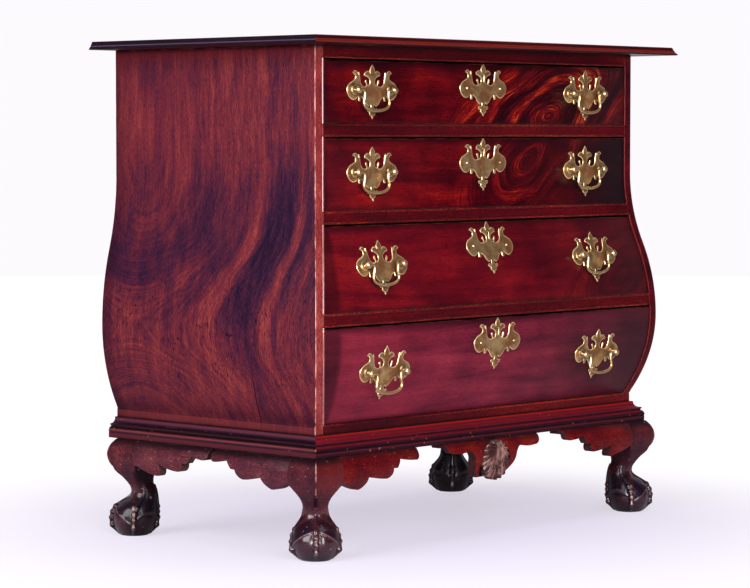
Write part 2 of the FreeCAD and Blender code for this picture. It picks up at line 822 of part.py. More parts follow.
# Claws, from the ankle to the nail: distance from the ball's axis, height, half depth and
# half width.  Every second oval is a knuckle.
CLAW_SECTIONS = [
    (0.0, 64.0, 7.0, 6.5), (13.0, 54.5, 5.4, 5.0), (24.0, 46.0, 6.4, 5.4),
    (31.0, 38.0, 5.0, 4.2), (34.6, 30.0, 6.2, 5.2), (36.0, 23.0, 4.8, 4.0),
    (35.8, 16.0, 5.8, 4.8), (34.0, 8.5, 3.6, 3.2), (31.0, 1.0, 1.9, 1.7),
]


def claw(direction):
    """One claw as a loft of ovals set square to the curve that it follows over the ball."""
    path = [Vector(distance, 0, height) for distance, height, *_ in CLAW_SECTIONS]
    wires = []
    for index, (centre, section) in enumerate(zip(path, CLAW_SECTIONS)):
        half_depth, half_width = section[2:]
        along = path[min(index + 1, len(path) - 1)] - path[max(index - 1, 0)]
        outward = Vector(-along.z, 0, along.x).normalize() * half_depth
        oval = Part.Ellipse(centre + outward, centre + Vector(0, half_width, 0), centre)
        wires.append(Part.Wire(oval.toShape()))
    shape = Part.makeLoft(wires, True, False)
    shape.rotate(Vector(0, 0, 0), Vector(0, 0, 1), direction)
    return shape


def knee_shape():
    """Square knee: the swell of the aprons carried on round the corner."""
    low = moulding_bottom - size("apron_round_drop")
    swelled = chain([
        (-leg_block, low), (apron_swell(low), low),
        ("arc", (apron_reach, apron_widest), (apron_swell(moulding_bottom), moulding_bottom)),
        (-leg_block, moulding_bottom), (-leg_block, low),
    ])
    face = Part.Face(Part.Wire([edge.toShape() for edge in swelled]))
    face.rotate(Vector(0, 0, 0), Vector(1, 0, 0), 90)
    face.translate(Vector(0, -leg_block, 0))
    along_y = face.extrude(Vector(0, 3 * leg_block, 0))
    along_x = along_y.mirror(Vector(0, 0, 0), Vector(1, -1, 0))
    return along_y.common(along_x)


def leg_shape():
    """Leg with its knee towards +X +Y and the middle of its foot on the Z axis."""
    frame_top = size("frame_height")
    knee_low = moulding_bottom - size("apron_round_drop")
    calf_low = size("ball_height") - size("calf_in_ball")
    scale = (knee_low - calf_low) / CALF_SECTIONS[-1][0]
    sections = []
    for way, outer, inner, outer_r, side_r, inner_r in CALF_SECTIONS:
        height = knee_low - scale * way
        if outer is None:
            outer = apron_swell(height)
        sections.append(rounded_square(height, outer, inner, outer_r, side_r, inner_r))
    calf = Part.makeLoft(sections, True, False)
    post = Part.makeBox(leg_block, leg_block, frame_top - moulding_bottom)
    post.translate(Vector(-leg_block, -leg_block, moulding_bottom))
    pad, ball, top = size("foot_pad_radius"), size("ball_radius"), size("ball_height")
    profile = [
        line((0, 0, 0), (pad, 0, 0)).toShape(),
        arc((pad, 0, 0), (ball, 0, 0.5 * top), (0.62 * ball, 0, top)).toShape(),
        line((0.62 * ball, 0, top), (0, 0, top)).toShape(),
        line((0, 0, top), (0, 0, 0)).toShape(),
    ]
    foot = Part.Face(Part.Wire(profile)).revolve(Vector(0, 0, 0), Vector(0, 0, 1), 360)
    claws = [claw(direction) for direction in (45, 135, 225, 315)]
    return post.fuse([knee_shape(), calf, foot] + claws).removeSplitter()


leg_master = leg_shape()
print("leg solids", len(leg_master.Solids), "volume", round(leg_master.Volume))
for name, x, y, turn_angle in (
    ("leg_front_left", -case_half, front, 180), ("leg_front_right", case_half, front, 270),
    ("leg_rear_left", -case_half, rear_leg, 90), ("leg_rear_right", case_half, rear_leg, 0),
):
    leg = form(f"{name}_solid", leg_master.copy())
    leg.Placement = Placement(Vector(x, y, 0), Rotation(Vector(0, 0, 1), turn_angle))
    keep(leg, name)


# ---------------------------------------------------------------------------
# Brasses
# ---------------------------------------------------------------------------
# Right half of the plate's outline from the tip of the finial down to the tip of the drop.
PLATE_HALF = [
    (0, 42), (3.2, 36), (5.8, 31), (3.4, 26), (7, 30), (12, 31), (19.5, 24.5), (18, 21),
    (11, 19), (6, 13.5), (6, 8), (11.5, 7.5), (14.5, 15.5), (17.5, 6), (22, 3.5), (26, 6),
    (29, 16), (33, 12), (35, 20), (35.5, 28), (41, 31.5), (48, 27.5), (44, 24), (43.5, 17.5),
    ("arc", (60.75, -3), (36, -15.8)), (32.5, -13), (31, -19.5), (26, -13), (17, -19),
    (10, -28), (4.5, -29), (12.5, -31.5), (10.5, -37), (4, -43), (0, -49),
]


def plate_frame(x, height):
    """Placement on the front of the case: local Z points out and local Y up the front."""
    tilt = swell_tilt(height)
    return Placement(Vector(x, front - swell_at(height), height), Rotation(Vector(1, 0, 0), 90 - tilt))


plate_skin = behind(-size("plate_thickness")).cut(case_front)


def plate(x, height):
    """Plate that follows the front, as an upright prism cut from a thin skin."""
    halves = []
    for sign in (-1, 1):
        edges = [piece.toShape() for piece in chain(mirrored(PLATE_HALF, sign, 0))]
        edges.append(Part.makeLine(Vector(0, -49, 0), Vector(0, 42, 0)))
        half = Part.Face(Part.Wire(edges))
        half.Placement = Placement(Vector(x, front - 90, height), Rotation(Vector(1, 0, 0), 90))
        halves.append(half.extrude(Vector(0, 110, 0)))
    return halves[0].fuse(halves[1]).removeSplitter().common(plate_skin)


def drilled(x, height, radius):
    """Straight drill through the plate and the drawer front, square to the front."""
    depth = 2 * front_thickness
    drill = Part.makeCylinder(radius, 2 * depth, Vector(0, 0, -depth))
    drill.Placement = plate_frame(x, height)
    return drill


post_body = new_body("post")
reach_of_post = size("post_reach")
head, flange, shank = size("post_head_radius"), size("post_flange_radius"), size("post_shank_radius")
seat = size("plate_thickness") + 0.05
inside = -front_thickness - size("nut_thickness") - 2
neck = 0.5 * head
# The face of the head is part of a sphere centred on the axis.
rim, dome = reach_of_post + 2.4, 2.6
dome_radius = (head ** 2 + dome ** 2) / (2 * dome)
dome_turn = math.asin(head / dome_radius) / 2
dome_via = (
    dome_radius * math.sin(dome_turn), rim + dome - dome_radius * (1 - math.cos(dome_turn))
)
post_profile = [
    (0, inside), (shank, inside), (shank, seat), (flange, seat), (flange, seat + 1.2),
    ("arc", (0.7 * flange, seat + 2.4), (neck, seat + 3)), (neck, reach_of_post - 5.4),
    ("arc", (0.75 * head, reach_of_post - 4.2), (head, reach_of_post - 2.4)),
    (head, rim), ("arc", dome_via, (0, rim + dome)), (0, inside),
]
post_sketch = sketch_on(post_body, "post_profile", "XZ_Plane", chain(post_profile))
post_turned = post_body.newObject("PartDesign::Revolution", "post_turned")
post_turned.Profile = post_sketch
post_turned.ReferenceAxis = (post_sketch, ["V_Axis"])
post_turned.Angle = 360
pin_hole_sketch = sketch_on(
    post_body, "pin_hole_sketch", "YZ_Plane",
    [Part.Circle(
        Vector(0, reach_of_post, 0), Vector(0, 0, 1),
        size("bail_pin_radius") + size("bail_pin_clearance"),
    )],
)
pin_hole = post_body.newObject("PartDesign::Pocket", "pin_hole")
pin_hole.Profile = pin_hole_sketch
pin_hole.Midplane = True
pin_hole.setExpression("Length", "4 * Sizes.post_head_radius")


def nut():
    """Round nut on the inner end of a post's shank."""
    tilt_room = 0.1
    outer = Part.makeCylinder(size("nut_radius"), size("nut_thickness"))
    hole = Part.makeCylinder(shank + tilt_room, size("nut_thickness"))
    ring = outer.cut(hole)
    ring.translate(Vector(0, 0, -front_thickness - size("nut_thickness") - tilt_room))
    return ring


def plate_pin(x, height):
    """Round-headed pin that holds a plate without a pull."""
    radius, length = size("plate_pin_radius"), size("plate_pin_length")
    shaft = Part.makeCylinder(radius, length, Vector(0, 0, seat - length))
    dome = Part.makeSphere(1.8 * radius, Vector(0, 0, seat), Vector(0, 0, 1), 0, 90, 360)
    whole = shaft.fuse(dome)
    whole.Placement = plate_frame(x, height)
    return whole


def round_stretch(centre, start, end):
    """Arc from start to end about a centre, as a step of a chain."""
    radius = math.hypot(start[0] - centre[0], start[1] - centre[1])
    toward = (start[0] + end[0] - 2 * centre[0], start[1] + end[1] - 2 * centre[1])
    share = radius / math.hypot(*toward)
    return ("arc", (centre[0] + share * toward[0], centre[1] + share * toward[1]), end)


def bail_points():
    """Swan-necked middle line of a bail in X and Z, from the right post to the left."""
    neck, half, drop = size("bail_neck_half_width"), size("bail_half_width"), size("bail_drop")
    bend, corner = size("bail_bend_radius"), size("bail_corner_radius")
    sweep_end = size("bail_sweep_drop")
    # The sides leave the bend upright and sweep outwards.
    fall = sweep_end - bend
    sweep_radius = ((half - neck) ** 2 + fall ** 2) / (2 * (half - neck))
    lean = math.asin(fall / sweep_radius)
    corner_x = half - corner * math.cos(lean)
    corner_z = -sweep_end - corner * math.sin(lean)
    # The grip is one flat arc that runs into both corners.
    depth = drop + corner_z
    grip_radius = (corner_x ** 2 + depth ** 2 - corner ** 2) / (2 * (depth - corner))
    grip_z = grip_radius - drop
    share = corner / (grip_radius - corner)
    join = (corner_x * (1 + share), corner_z + (corner_z - grip_z) * share)
    right = [
        (neck + bend, 0), (neck, -bend), (half, -sweep_end), join,
    ]
    centres = [(neck + bend, -bend), (neck + sweep_radius, -bend), (corner_x, corner_z)]
    steps = [(bail_start, 0), right[0]]
    for centre, start, end in zip(centres, right, right[1:]):
        steps.append(round_stretch(centre, start, end))
    left = [(-x, z) for x, z in reversed(right)]
    steps.append(round_stretch((0, grip_z), join, left[0]))
    for centre, start, end in zip(reversed(centres), left, left[1:]):
        steps.append(round_stretch((-centre[0], centre[1]), start, end))
    return steps + [(-bail_start, 0)]


def bail(name, x, height):
    """Bail that hangs from the pins in its two posts."""
    body = new_body(f"{name}_body")
    path = sketch_on(body, f"{name}_path", "XZ_Plane", chain(bail_points()))
    circle = Part.Circle(Vector(0, 0, 0), Vector(0, 0, 1), size("bail_radius"))
    section = sketch_on(body, f"{name}_section", "YZ_Plane", [circle])
    section.AttachmentOffset = Placement(Vector(0, 0, bail_start), Rotation())
    pipe = body.newObject("PartDesign::AdditivePipe", f"{name}_pipe")
    pipe.Profile = section
    pipe.Spine = (path, [f"Edge{index + 1}" for index in range(path.GeometryCount)])
    circle = Part.Circle(Vector(0, 0, 0), Vector(0, 0, 1), size("bail_pin_radius"))
    pin_section = sketch_on(body, f"{name}_pin_section", "YZ_Plane", [circle])
    pin_section.AttachmentOffset = Placement(Vector(0, 0, bail_start - 1), Rotation())
    pins = body.newObject("PartDesign::Pad", f"{name}_pin")
    pins.Profile = pin_section
    pins.Length = size("post_spacing") / 2 - bail_start + 3
    both = body.newObject("PartDesign::Mirrored", f"{name}_pins")
    both.Originals = [pins]
    middle = [feature for feature in body.Origin.OriginFeatures if feature.Role == "YZ_Plane"][0]
    both.MirrorPlane = (middle, [""])
    body.Tip = both
    out = Vector(0, 0, reach_of_post)
    body.Placement = Placement(plate_frame(x, height).multVec(out), Rotation())
    return body


bail_start = size("post_spacing") / 2 - head - size("bail_end_gap")


# ---------------------------------------------------------------------------
# Drawers: shaped front, sides that follow the case, back, bottom, lock and brasses
# ---------------------------------------------------------------------------
def lock(name, height):
    """Lock let into the back of a drawer front, with its keyhole."""
    body = new_body(f"{name}_body")
    half_width, half_height = size("lock_width") / 2, size("lock_height") / 2
    case_outline = chain([
        (-half_width, -half_height), (half_width, -half_height), (half_width, half_height),
        (-half_width, half_height), (-half_width, -half_height),
    ])
    outline = sketch_on(body, f"{name}_outline", "XY_Plane", case_outline)
    case = body.newObject("PartDesign::Pad", f"{name}_case")
    case.Profile = outline
    case.setExpression("Length", "Sizes.lock_depth")
    key = sketch_on(
        body, f"{name}_key_outline", "XY_Plane",
        [Part.Circle(Vector(0, 0, 0), Vector(0, 0, 1), size("keyhole_radius"))],
    )
    keyway = body.newObject("PartDesign::Pocket", f"{name}_keyway")
    keyway.Profile = key
    keyway.Midplane = True
    keyway.setExpression("Length", "4 * Sizes.lock_depth")
    back_of_lock = Vector(0, 0, size("lock_mortise") - front_thickness - size("lock_depth"))
    frame = plate_frame(0, height)
    body.Placement = Placement(frame.multVec(back_of_lock), frame.Rotation)
    return body


def lock_mortise(height):
    """Room that a lock takes in the back of the front."""
    width, tall = size("lock_width"), size("lock_height")
    depth = size("lock_depth") + 10
    room = Part.makeBox(width, tall, depth, Vector(-width / 2, -tall / 2, 0))
    room.translate(Vector(0, 0, size("lock_mortise") - front_thickness - depth))
    room.Placement = plate_frame(0, height).multiply(room.Placement)
    return room


def keyhole(height):
    """Round hole with a slot below it, through plate and front."""
    radius = size("keyhole_radius")
    depth = 2 * front_thickness
    round_part = Part.makeCylinder(radius, depth, Vector(0, 0, -depth + 10))
    slot = Part.makeBox(radius, 4 * radius, depth, Vector(-radius / 2, -4 * radius, -depth + 10))
    hole = round_part.fuse(slot)
    hole.Placement = plate_frame(0, height)
    return hole


def drawer(number):
    """All the pieces of one drawer."""
    name = f"drawer_{number}"
    low = f"({OPENING_LOW[number]} + Sizes.drawer_gap_under)"
    high = f"({OPENING_HIGH[number]} - Sizes.drawer_gap_over)"
    low_value, high_value = value(low), value(high)
    pull_height = (low_value + high_value) / 2 + size("pull_raise")
    plate_height = high_value - size("escutcheon_below_edge")
    key_height = plate_height + size("keyhole_raise")
    pull_distance = case_half - size("pull_inset")
    pulls = (-pull_distance, pull_distance)
    posts_at = [x + side * size("post_spacing") / 2 for x in pulls for side in (-1, 1)]
    pins_at = [side * size("post_spacing") / 2 for side in (-1, 1)]

    board = common(f"{name}_front_board", slab(f"{name}_front_stock", low, high), form_fronts)
    shank_hole = size("post_shank_radius") + size("post_shank_clearance")
    holes = [drilled(x, pull_height, shank_hole) for x in posts_at]
    holes.append(keyhole(key_height))
    pin_hole_radius = size("plate_pin_radius") + size("post_shank_clearance")
    holes += [drilled(x, plate_height, pin_hole_radius) for x in pins_at]
    cuts = form(f"{name}_front_holes", Part.makeCompound(holes + [lock_mortise(key_height)]))
    keep(cut(f"{name}_front_solid", board, cuts), f"{name}_front")

    side_high = f"({high} - Sizes.drawer_side_drop)"
    side_stock = slab(f"{name}_side_stock", low, side_high, y_high=DRAWER_REAR)
    keep(common(f"{name}_sides_solid", side_stock, form_walls), f"{name}_sides")
    bottom_low = f"({low} + Sizes.drawer_bottom_raise)"
    bottom_high = f"({bottom_low} + Sizes.drawer_bottom_thickness)"
    bottom_stock = slab(f"{name}_bottom_stock", bottom_low, bottom_high, y_high=DRAWER_REAR)
    keep(common(f"{name}_bottom_solid", bottom_stock, form_drawer_inside), f"{name}_bottom")
    back_stock = slab(
        f"{name}_back_stock", bottom_high, side_high,
        f"({DRAWER_REAR} - Sizes.drawer_back_thickness)", DRAWER_REAR,
    )
    keep(common(f"{name}_back_solid", back_stock, form_drawer_inside), f"{name}_back")

    plates = [plate(x, pull_height) for x in pulls] + [plate(0, plate_height)]
    plates_shape = Part.makeCompound(plates).cut(Part.makeCompound(holes))
    keep(form(f"{name}_plates_solid", plates_shape), f"{name}_plates")

    fittings = []
    for x in posts_at:
        for piece in (post_body.Shape, nut()):
            moved = piece.copy()
            moved.Placement = plate_frame(x, pull_height).multiply(moved.Placement)
            fittings.append(moved)
    fittings += [plate_pin(x, plate_height) for x in pins_at]
    keep(form(f"{name}_posts_solid", Part.makeCompound(fittings)), f"{name}_posts")
    for x, hand in zip(pulls, ("left", "right")):
        keep(bail(f"{name}_bail_{hand}", x, pull_height), f"{name}_bail_{hand}")
    keep(lock(f"{name}_lock", key_height), f"{name}_lock")
    print(name, "front", round(low_value, 1), "to", round(high_value, 1),
          "pulls at", round(pull_height, 1), "plate at", round(plate_height, 1),
          "tilt", round(swell_tilt(pull_height), 1))


doc.recompute()
for number in sorted(NUMBERS):
    drawer(number)

# ---------------------------------------------------------------------------
# Check every object, then write one file for each sub-part
# ---------------------------------------------------------------------------
doc.recompute()
faults = [obj.Name for obj in doc.Objects if "Invalid" in obj.State or "Error" in obj.State]
for piece in PIECES:
    shape = piece.Shape
    solids_are_valid = all(solid.isValid() for solid in shape.Solids)
    if shape.isNull() or not shape.isValid() or not shape.Solids or not solids_are_valid:
        faults.append(piece.Label)
if faults:
    raise RuntimeError("these objects failed: " + ", ".join(faults))

os.makedirs("parts", exist_ok=True)
for piece in PIECES:
    piece.Shape.exportStep(f"parts/{piece.Label}.step")
print(len(PIECES), "sub-parts,", sum(len(piece.Shape.Solids) for piece in PIECES), "solids")
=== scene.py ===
# %% [markdown]
# # A mahogany bombe chest on claw-and-ball feet
# The chest is built three times over: as solids, as moving bodies and, here, for the eye.
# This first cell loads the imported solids. They are a fixed frame: each new piece stands
# where a solid stands, rides on its body and takes its place in every view.

import math

import bmesh
import bpy
from mathutils import Matrix, Vector


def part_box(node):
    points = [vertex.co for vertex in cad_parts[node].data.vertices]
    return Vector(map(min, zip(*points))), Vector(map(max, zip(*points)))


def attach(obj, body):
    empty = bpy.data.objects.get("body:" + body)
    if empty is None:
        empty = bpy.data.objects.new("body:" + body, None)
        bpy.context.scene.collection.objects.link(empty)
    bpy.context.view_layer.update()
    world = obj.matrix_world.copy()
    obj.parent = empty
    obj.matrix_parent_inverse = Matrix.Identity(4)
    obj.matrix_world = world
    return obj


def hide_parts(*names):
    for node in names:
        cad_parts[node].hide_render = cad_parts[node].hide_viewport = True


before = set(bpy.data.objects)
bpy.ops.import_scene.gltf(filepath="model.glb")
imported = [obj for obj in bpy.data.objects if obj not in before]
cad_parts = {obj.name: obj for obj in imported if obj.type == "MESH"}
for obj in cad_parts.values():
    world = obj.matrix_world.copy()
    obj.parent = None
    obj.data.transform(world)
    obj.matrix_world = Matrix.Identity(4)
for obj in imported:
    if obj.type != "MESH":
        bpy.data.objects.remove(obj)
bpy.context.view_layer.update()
scene = bpy.context.scene

# %% [markdown]
# A joiner takes the sizes of a drawer from its opening. In the same way the sizes of the case
# are read from the boxes of the solids, so that looks and solids agree.

# %% Sizes of the case
def face_of(node_name, end, axis):
    """Low or high face of a solid's box, to a tenth of a millimetre."""
    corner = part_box(node_name)[("low", "high").index(end)]
    return round(getattr(corner, axis), 4)


def levels_of(node_name):
    """Lowest and highest level of a solid."""
    low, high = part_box(node_name)
    return low.z, high.z


CASE_HALF = face_of("moulding_right", "low", "x")
FRONT = face_of("moulding_front", "high", "y")
BACK = face_of("back_boards", "high", "y")
BASE = face_of("bottom_board", "low", "z")
CASE_TOP = face_of("top_board", "low", "z")
UNDERSIDE = face_of("moulding_front", "low", "z")
THICKNESS = round(CASE_HALF - face_of("side_right", "low", "x"), 4)
SWELL = round(face_of("side_right", "high", "x") - CASE_HALF, 4)
DRAWERS = (1, 2, 3, 4)
RAILS = ["bottom_rail", "divider_3", "divider_2", "divider_1", "top_rail"]
OPENINGS = [
    (face_of(below, "high", "z"), face_of(above, "low", "z")) for below, above in zip(RAILS, RAILS[1:])
]
bail_box = [face_of("drawer_1_bail_right", end, "x") for end in ("low", "high")]
PULL_X = round(sum(bail_box) / 2, 4)
print("case", CASE_HALF, FRONT, BACK, BASE, CASE_TOP, "swell", SWELL, "openings", OPENINGS)

# %% [markdown]
# ## Camera
# Long lens, far away and only a little above the middle of the chest. That is how furniture
# is usually shown, because the upright edges stay nearly parallel.

# %% Camera
CAMERA_PLACE = (-3.65871, -3.3510, 0.67927)
CAMERA_DOWN, CAMERA_TURN = 3.18, 47.15
camera_data = bpy.data.cameras.new("camera")
camera_data.lens = 135.76
camera_data.sensor_width = 36.0
camera_data.sensor_fit = "HORIZONTAL"
camera_data.clip_end = 100.0
camera = bpy.data.objects.new("camera", camera_data)
camera.location = CAMERA_PLACE
camera.rotation_euler = (math.radians(90 - CAMERA_DOWN), 0.0, math.radians(-CAMERA_TURN))
scene.collection.objects.link(camera)
scene.camera = camera
scene.view_settings.view_transform = "Standard"
print("camera", [round(v, 3) for v in camera.location])

# %% [markdown]
# ## Colours
# Colours are written as the usual 0 to 255 numbers. Shaders work in linear light, so one
# helper turns them over, and every finish below is written in numbers that a painter knows.

# %% Colours
def paint(red, green, blue):
    """Linear colour with alpha from 0-255 numbers."""
    def linear(level):
        level /= 255
        return level / 12.92 if level <= 0.04045 else ((level + 0.055) / 1.055) ** 2.4
    return (linear(red), linear(green), linear(blue), 1.0)


# %% [markdown]
# ## Light
# A white studio: one broad soft lamp on the left, one high up at the front left, a narrow
# strip in front, which brass and polish show as a thin line, and a weak lamp over the top.

# %% Lamps
def soft_lamp(name, place, aim, width, height, power):
    lamp_data = bpy.data.lights.new(name, "AREA")
    lamp_data.shape = "RECTANGLE"
    lamp_data.size, lamp_data.size_y = width, height
    lamp_data.energy = power
    lamp = bpy.data.objects.new(name, lamp_data)
    lamp.location = place
    lamp.rotation_euler = (Vector(aim) - Vector(place)).to_track_quat("-Z", "Y").to_euler()
    scene.collection.objects.link(lamp)
    print(name, power, "W")


soft_lamp("key_lamp", (-3.4, 0.3, 1.7), (-0.3, 0.0, 0.45), 2.2, 2.2, 90.0)
soft_lamp("front_lamp", (-2.3, -3.6, 2.3), (0.0, -0.2, 0.4), 1.6, 1.6, 62.0)
soft_lamp("strip_lamp", (-0.75, -3.8, 0.9), (0.0, -0.2, 0.45), 0.4, 1.8, 32.0)
soft_lamp("top_lamp", (0.2, -0.4, 3.2), (0.0, 0.0, 0.4), 2.4, 2.0, 24.0)

# %% [markdown]
# ## Writing shaders
# A material is a tree of nodes. Most helpers here add one kind of node and hand back the
# socket that comes out of it, so that a finish can be written like a sum.

# %% Helpers for shaders
def tree_of(owner):
    """Empty node tree of a material or world."""
    owner.use_nodes = True
    owner.node_tree.nodes.clear()
    return owner.node_tree


def node(tree, kind, inputs=None, **settings):
    """New node with its settings; inputs are numbers, colours or other nodes' sockets."""
    made = tree.nodes.new(kind)
    for key, setting in settings.items():
        setattr(made, key, setting)
    for key, given in (inputs or {}).items():
        if isinstance(given, bpy.types.NodeSocket):
            tree.links.new(given, made.inputs[key])
        else:
            made.inputs[key].default_value = given
    return made


def maths(tree, operation, first, second=0.0, clamp=False):
    made = node(tree, "ShaderNodeMath", {0: first, 1: second}, operation=operation, use_clamp=clamp)
    return made.outputs[0]


def times(tree, first, second):
    return maths(tree, "MULTIPLY", first, second)


def plus(tree, total, *others):
    for other in others:
        total = maths(tree, "ADD", total, other)
    return total


def larger(tree, first, second):
    return maths(tree, "MAXIMUM", first, second)


def about_zero(tree, pattern, amount):
    """A pattern of 0 to 1 as a push of this amount both ways."""
    return times(tree, maths(tree, "SUBTRACT", pattern, 0.5), amount)


def remap(tree, value, from_low, from_high, to_low=0.0, to_high=1.0, smooth=True):
    return node(
        tree, "ShaderNodeMapRange",
        {"Value": value, "From Min": from_low, "From Max": from_high, "To Min": to_low,
         "To Max": to_high},
        interpolation_type="SMOOTHSTEP" if smooth else "LINEAR",
    ).outputs["Result"]


def vectors(tree, operation, inputs, output="Vector"):
    return node(tree, "ShaderNodeVectorMath", inputs, operation=operation).outputs[output]


def joined(tree, *parts):
    """Vector from up to three numbers."""
    return node(tree, "ShaderNodeCombineXYZ", dict(enumerate(parts))).outputs[0]


def noise(tree, vector, scale, detail=2.0, roughness=0.5):
    inputs = {"Vector": vector, "Scale": scale, "Detail": detail, "Roughness": roughness}
    return node(tree, "ShaderNodeTexNoise", inputs).outputs[0]


def blend(tree, amount, first, second):
    """Mix of two colours."""
    return node(tree, "ShaderNodeMix", {0: amount, 6: first, 7: second}, data_type="RGBA").outputs[2]


def tint(tree, colour, amount, rgb):
    """Colour that goes over to a painter's colour by an amount."""
    return blend(tree, amount, colour, paint(*rgb))


def mask(tree, label):
    """Number that the faces of a piece carry under a label."""
    return node(tree, "ShaderNodeAttribute", attribute_name=label).outputs["Fac"]


def by_curve(tree, value, points):
    """Smooth curve through points between 0 and 1."""
    made = node(tree, "ShaderNodeFloatCurve", {"Value": value})
    curve = made.mapping.curves[0]
    first, *between, last = points
    curve.points[0].location = first
    curve.points[1].location = last
    for x, y in between:
        curve.points.new(x, y)
    made.mapping.update()
    return made.outputs[0]


def ramp(tree, value, stops):
    """Painter's colours along a value; stops are (position, colour)."""
    made = node(tree, "ShaderNodeValToRGB", {0: value})
    elements = made.color_ramp.elements
    while len(elements) < len(stops):
        elements.new(1.0)
    for element, (position, rgb) in zip(elements, stops):
        element.position = position
        element.color = paint(*rgb)
    return made.outputs[0]


# %% [markdown]
# ## Backdrop and floor
# Straight on, the camera sees a white backdrop. Polish and brass see more of the studio: the
# white behind the chest, the dim room before it and one bright window in that room.

# %% Backdrop
BACKDROP = paint(253, 250, 254)
FROM_CAMERA = (0.733, 0.679, 0.0)


def seen(tree, glossy=True):
    """1 for what the camera sees directly, through glass or in a gloss."""
    path = node(tree, "ShaderNodeLightPath").outputs
    direct = larger(tree, path["Is Camera Ray"], path["Is Transmission Ray"])
    return larger(tree, direct, path["Is Glossy Ray"]) if glossy else direct


world = bpy.data.worlds.new("studio")
scene.world = world
tree = tree_of(world)
toward = node(tree, "ShaderNodeTexCoord").outputs["Generated"]
behind = vectors(tree, "DOT_PRODUCT", {0: toward, 1: FROM_CAMERA}, "Value")
backdrop_light = remap(tree, behind, 0.45, 0.95, 0.03, 0.9, smooth=False)
window = remap(tree, times(tree, behind, -1.0), 0.86, 0.97, 0.0, 22.0)
mirrored = larger(tree, backdrop_light, window)
light = node(tree, "ShaderNodeBackground", {"Color": (0.78, 0.77, 1.0, 1.0), "Strength": 0.28})
room = node(tree, "ShaderNodeBackground", {"Color": (0.93, 0.93, 1.0, 1.0), "Strength": mirrored})
shown = node(tree, "ShaderNodeBackground", {"Color": BACKDROP, "Strength": 1.0})
glossy_ray = node(tree, "ShaderNodeLightPath").outputs["Is Glossy Ray"]
indirect = node(tree, "ShaderNodeMixShader", {0: glossy_ray, 1: light.outputs[0], 2: room.outputs[0]})
choice = node(
    tree, "ShaderNodeMixShader", {0: seen(tree, glossy=False), 1: indirect.outputs[0], 2: shown.outputs[0]}
)
node(tree, "ShaderNodeOutputWorld", {"Surface": choice.outputs[0]})
print("backdrop", [round(v, 3) for v in BACKDROP[:3]])

# %% [markdown]
# The floor is a pale sheet that fades to the backdrop's colour with distance, so no horizon
# shows, but the shadow near the feet stays.

# %% Floor
floor_finish = bpy.data.materials.new("floor_finish")
tree = tree_of(floor_finish)
place = node(tree, "ShaderNodeTexCoord").outputs["Object"]
distance = vectors(tree, "LENGTH", {0: place}, "Value")
sheet = node(
    tree, "ShaderNodeBsdfPrincipled",
    {"Base Color": paint(241, 231, 255), "Roughness": 0.75, "Specular IOR Level": 0.2},
)
dimmer = times(tree, node(tree, "ShaderNodeLightPath").outputs["Is Glossy Ray"], -0.75)
# Near the chest the glow turns lavender, a painted shade around the feet.
painted_shade_halo = blend(tree, remap(tree, distance, 0.2, 0.75), paint(245, 239, 255), BACKDROP)
glow = node(tree, "ShaderNodeEmission", {"Color": painted_shade_halo, "Strength": plus(tree, dimmer, 1.07)})
amount = times(tree, remap(tree, distance, 0.45, 1.1, 0.6), seen(tree))
mix = node(tree, "ShaderNodeMixShader", {0: amount, 1: sheet.outputs[0], 2: glow.outputs[0]})
node(tree, "ShaderNodeOutputMaterial", {"Surface": mix.outputs[0]})

bm = bmesh.new()
bmesh.ops.create_circle(bm, cap_ends=True, radius=9.0, segments=64)
floor_mesh = bpy.data.meshes.new("floor")
bm.to_mesh(floor_mesh)
bm.free()
floor = bpy.data.objects.new("floor", floor_mesh)
floor_mesh.materials.append(floor_finish)
scene.collection.objects.link(floor)
print("floor", [round(v, 2) for v in floor.dimensions])

# %% [markdown]
# ## Wood
# All woods share one group that gives four patterns: slow changes of tone, fine fibres, the
# short dark pores of mahogany and small flecks. The patterns are stretched along the grain,
# so every material first turns its coordinates until the grain runs along X.

# %% Shared grain group
def new_group(name, inputs, outputs):
    """Node group; an input called Vector is a vector, and all the rest are numbers."""
    group = bpy.data.node_groups.new(name, "ShaderNodeTree")
    for direction, labels in (("INPUT", inputs), ("OUTPUT", outputs)):
        for label in labels:
            kind = "NodeSocketVector" if label == "Vector" else "NodeSocketFloat"
            group.interface.new_socket(name=label, in_out=direction, socket_type=kind)
    print("group", name, outputs)
    return group, group.nodes.new("NodeGroupInput").outputs, group.nodes.new("NodeGroupOutput").inputs


def stretched_noise(tree, vector, scale, detail=2.0, roughness=0.5, distortion=0.0):
    """Noise with its own scale along each axis."""
    moved = node(tree, "ShaderNodeMapping", {"Vector": vector, "Scale": scale}).outputs[0]
    return node(
        tree, "ShaderNodeTexNoise",
        {"Vector": moved, "Scale": 1.0, "Detail": detail, "Roughness": roughness,
         "Distortion": distortion},
    ).outputs[0]


grain_group, given, result = new_group("grain", ["Vector"], ["Tone", "Fibre", "Pores", "Fleck"])
vector = given["Vector"]
pores = stretched_noise(grain_group, vector, (95.0, 1100.0, 1100.0), 1.0, 0.4)
fleck = stretched_noise(grain_group, vector, (170.0, 700.0, 700.0), 3.0, 0.7)
patterns = {
    "Tone": stretched_noise(grain_group, vector, (2.2, 14.0, 14.0), 3.0, 0.55, 0.6),
    "Fibre": stretched_noise(grain_group, vector, (14.0, 420.0, 420.0), 3.0, 0.6),
    "Pores": remap(grain_group, pores, 0.58, 0.68),
    "Fleck": remap(grain_group, fleck, 0.3, 0.7, smooth=False),
}
for label, pattern in patterns.items():
    grain_group.links.new(pattern, result[label])
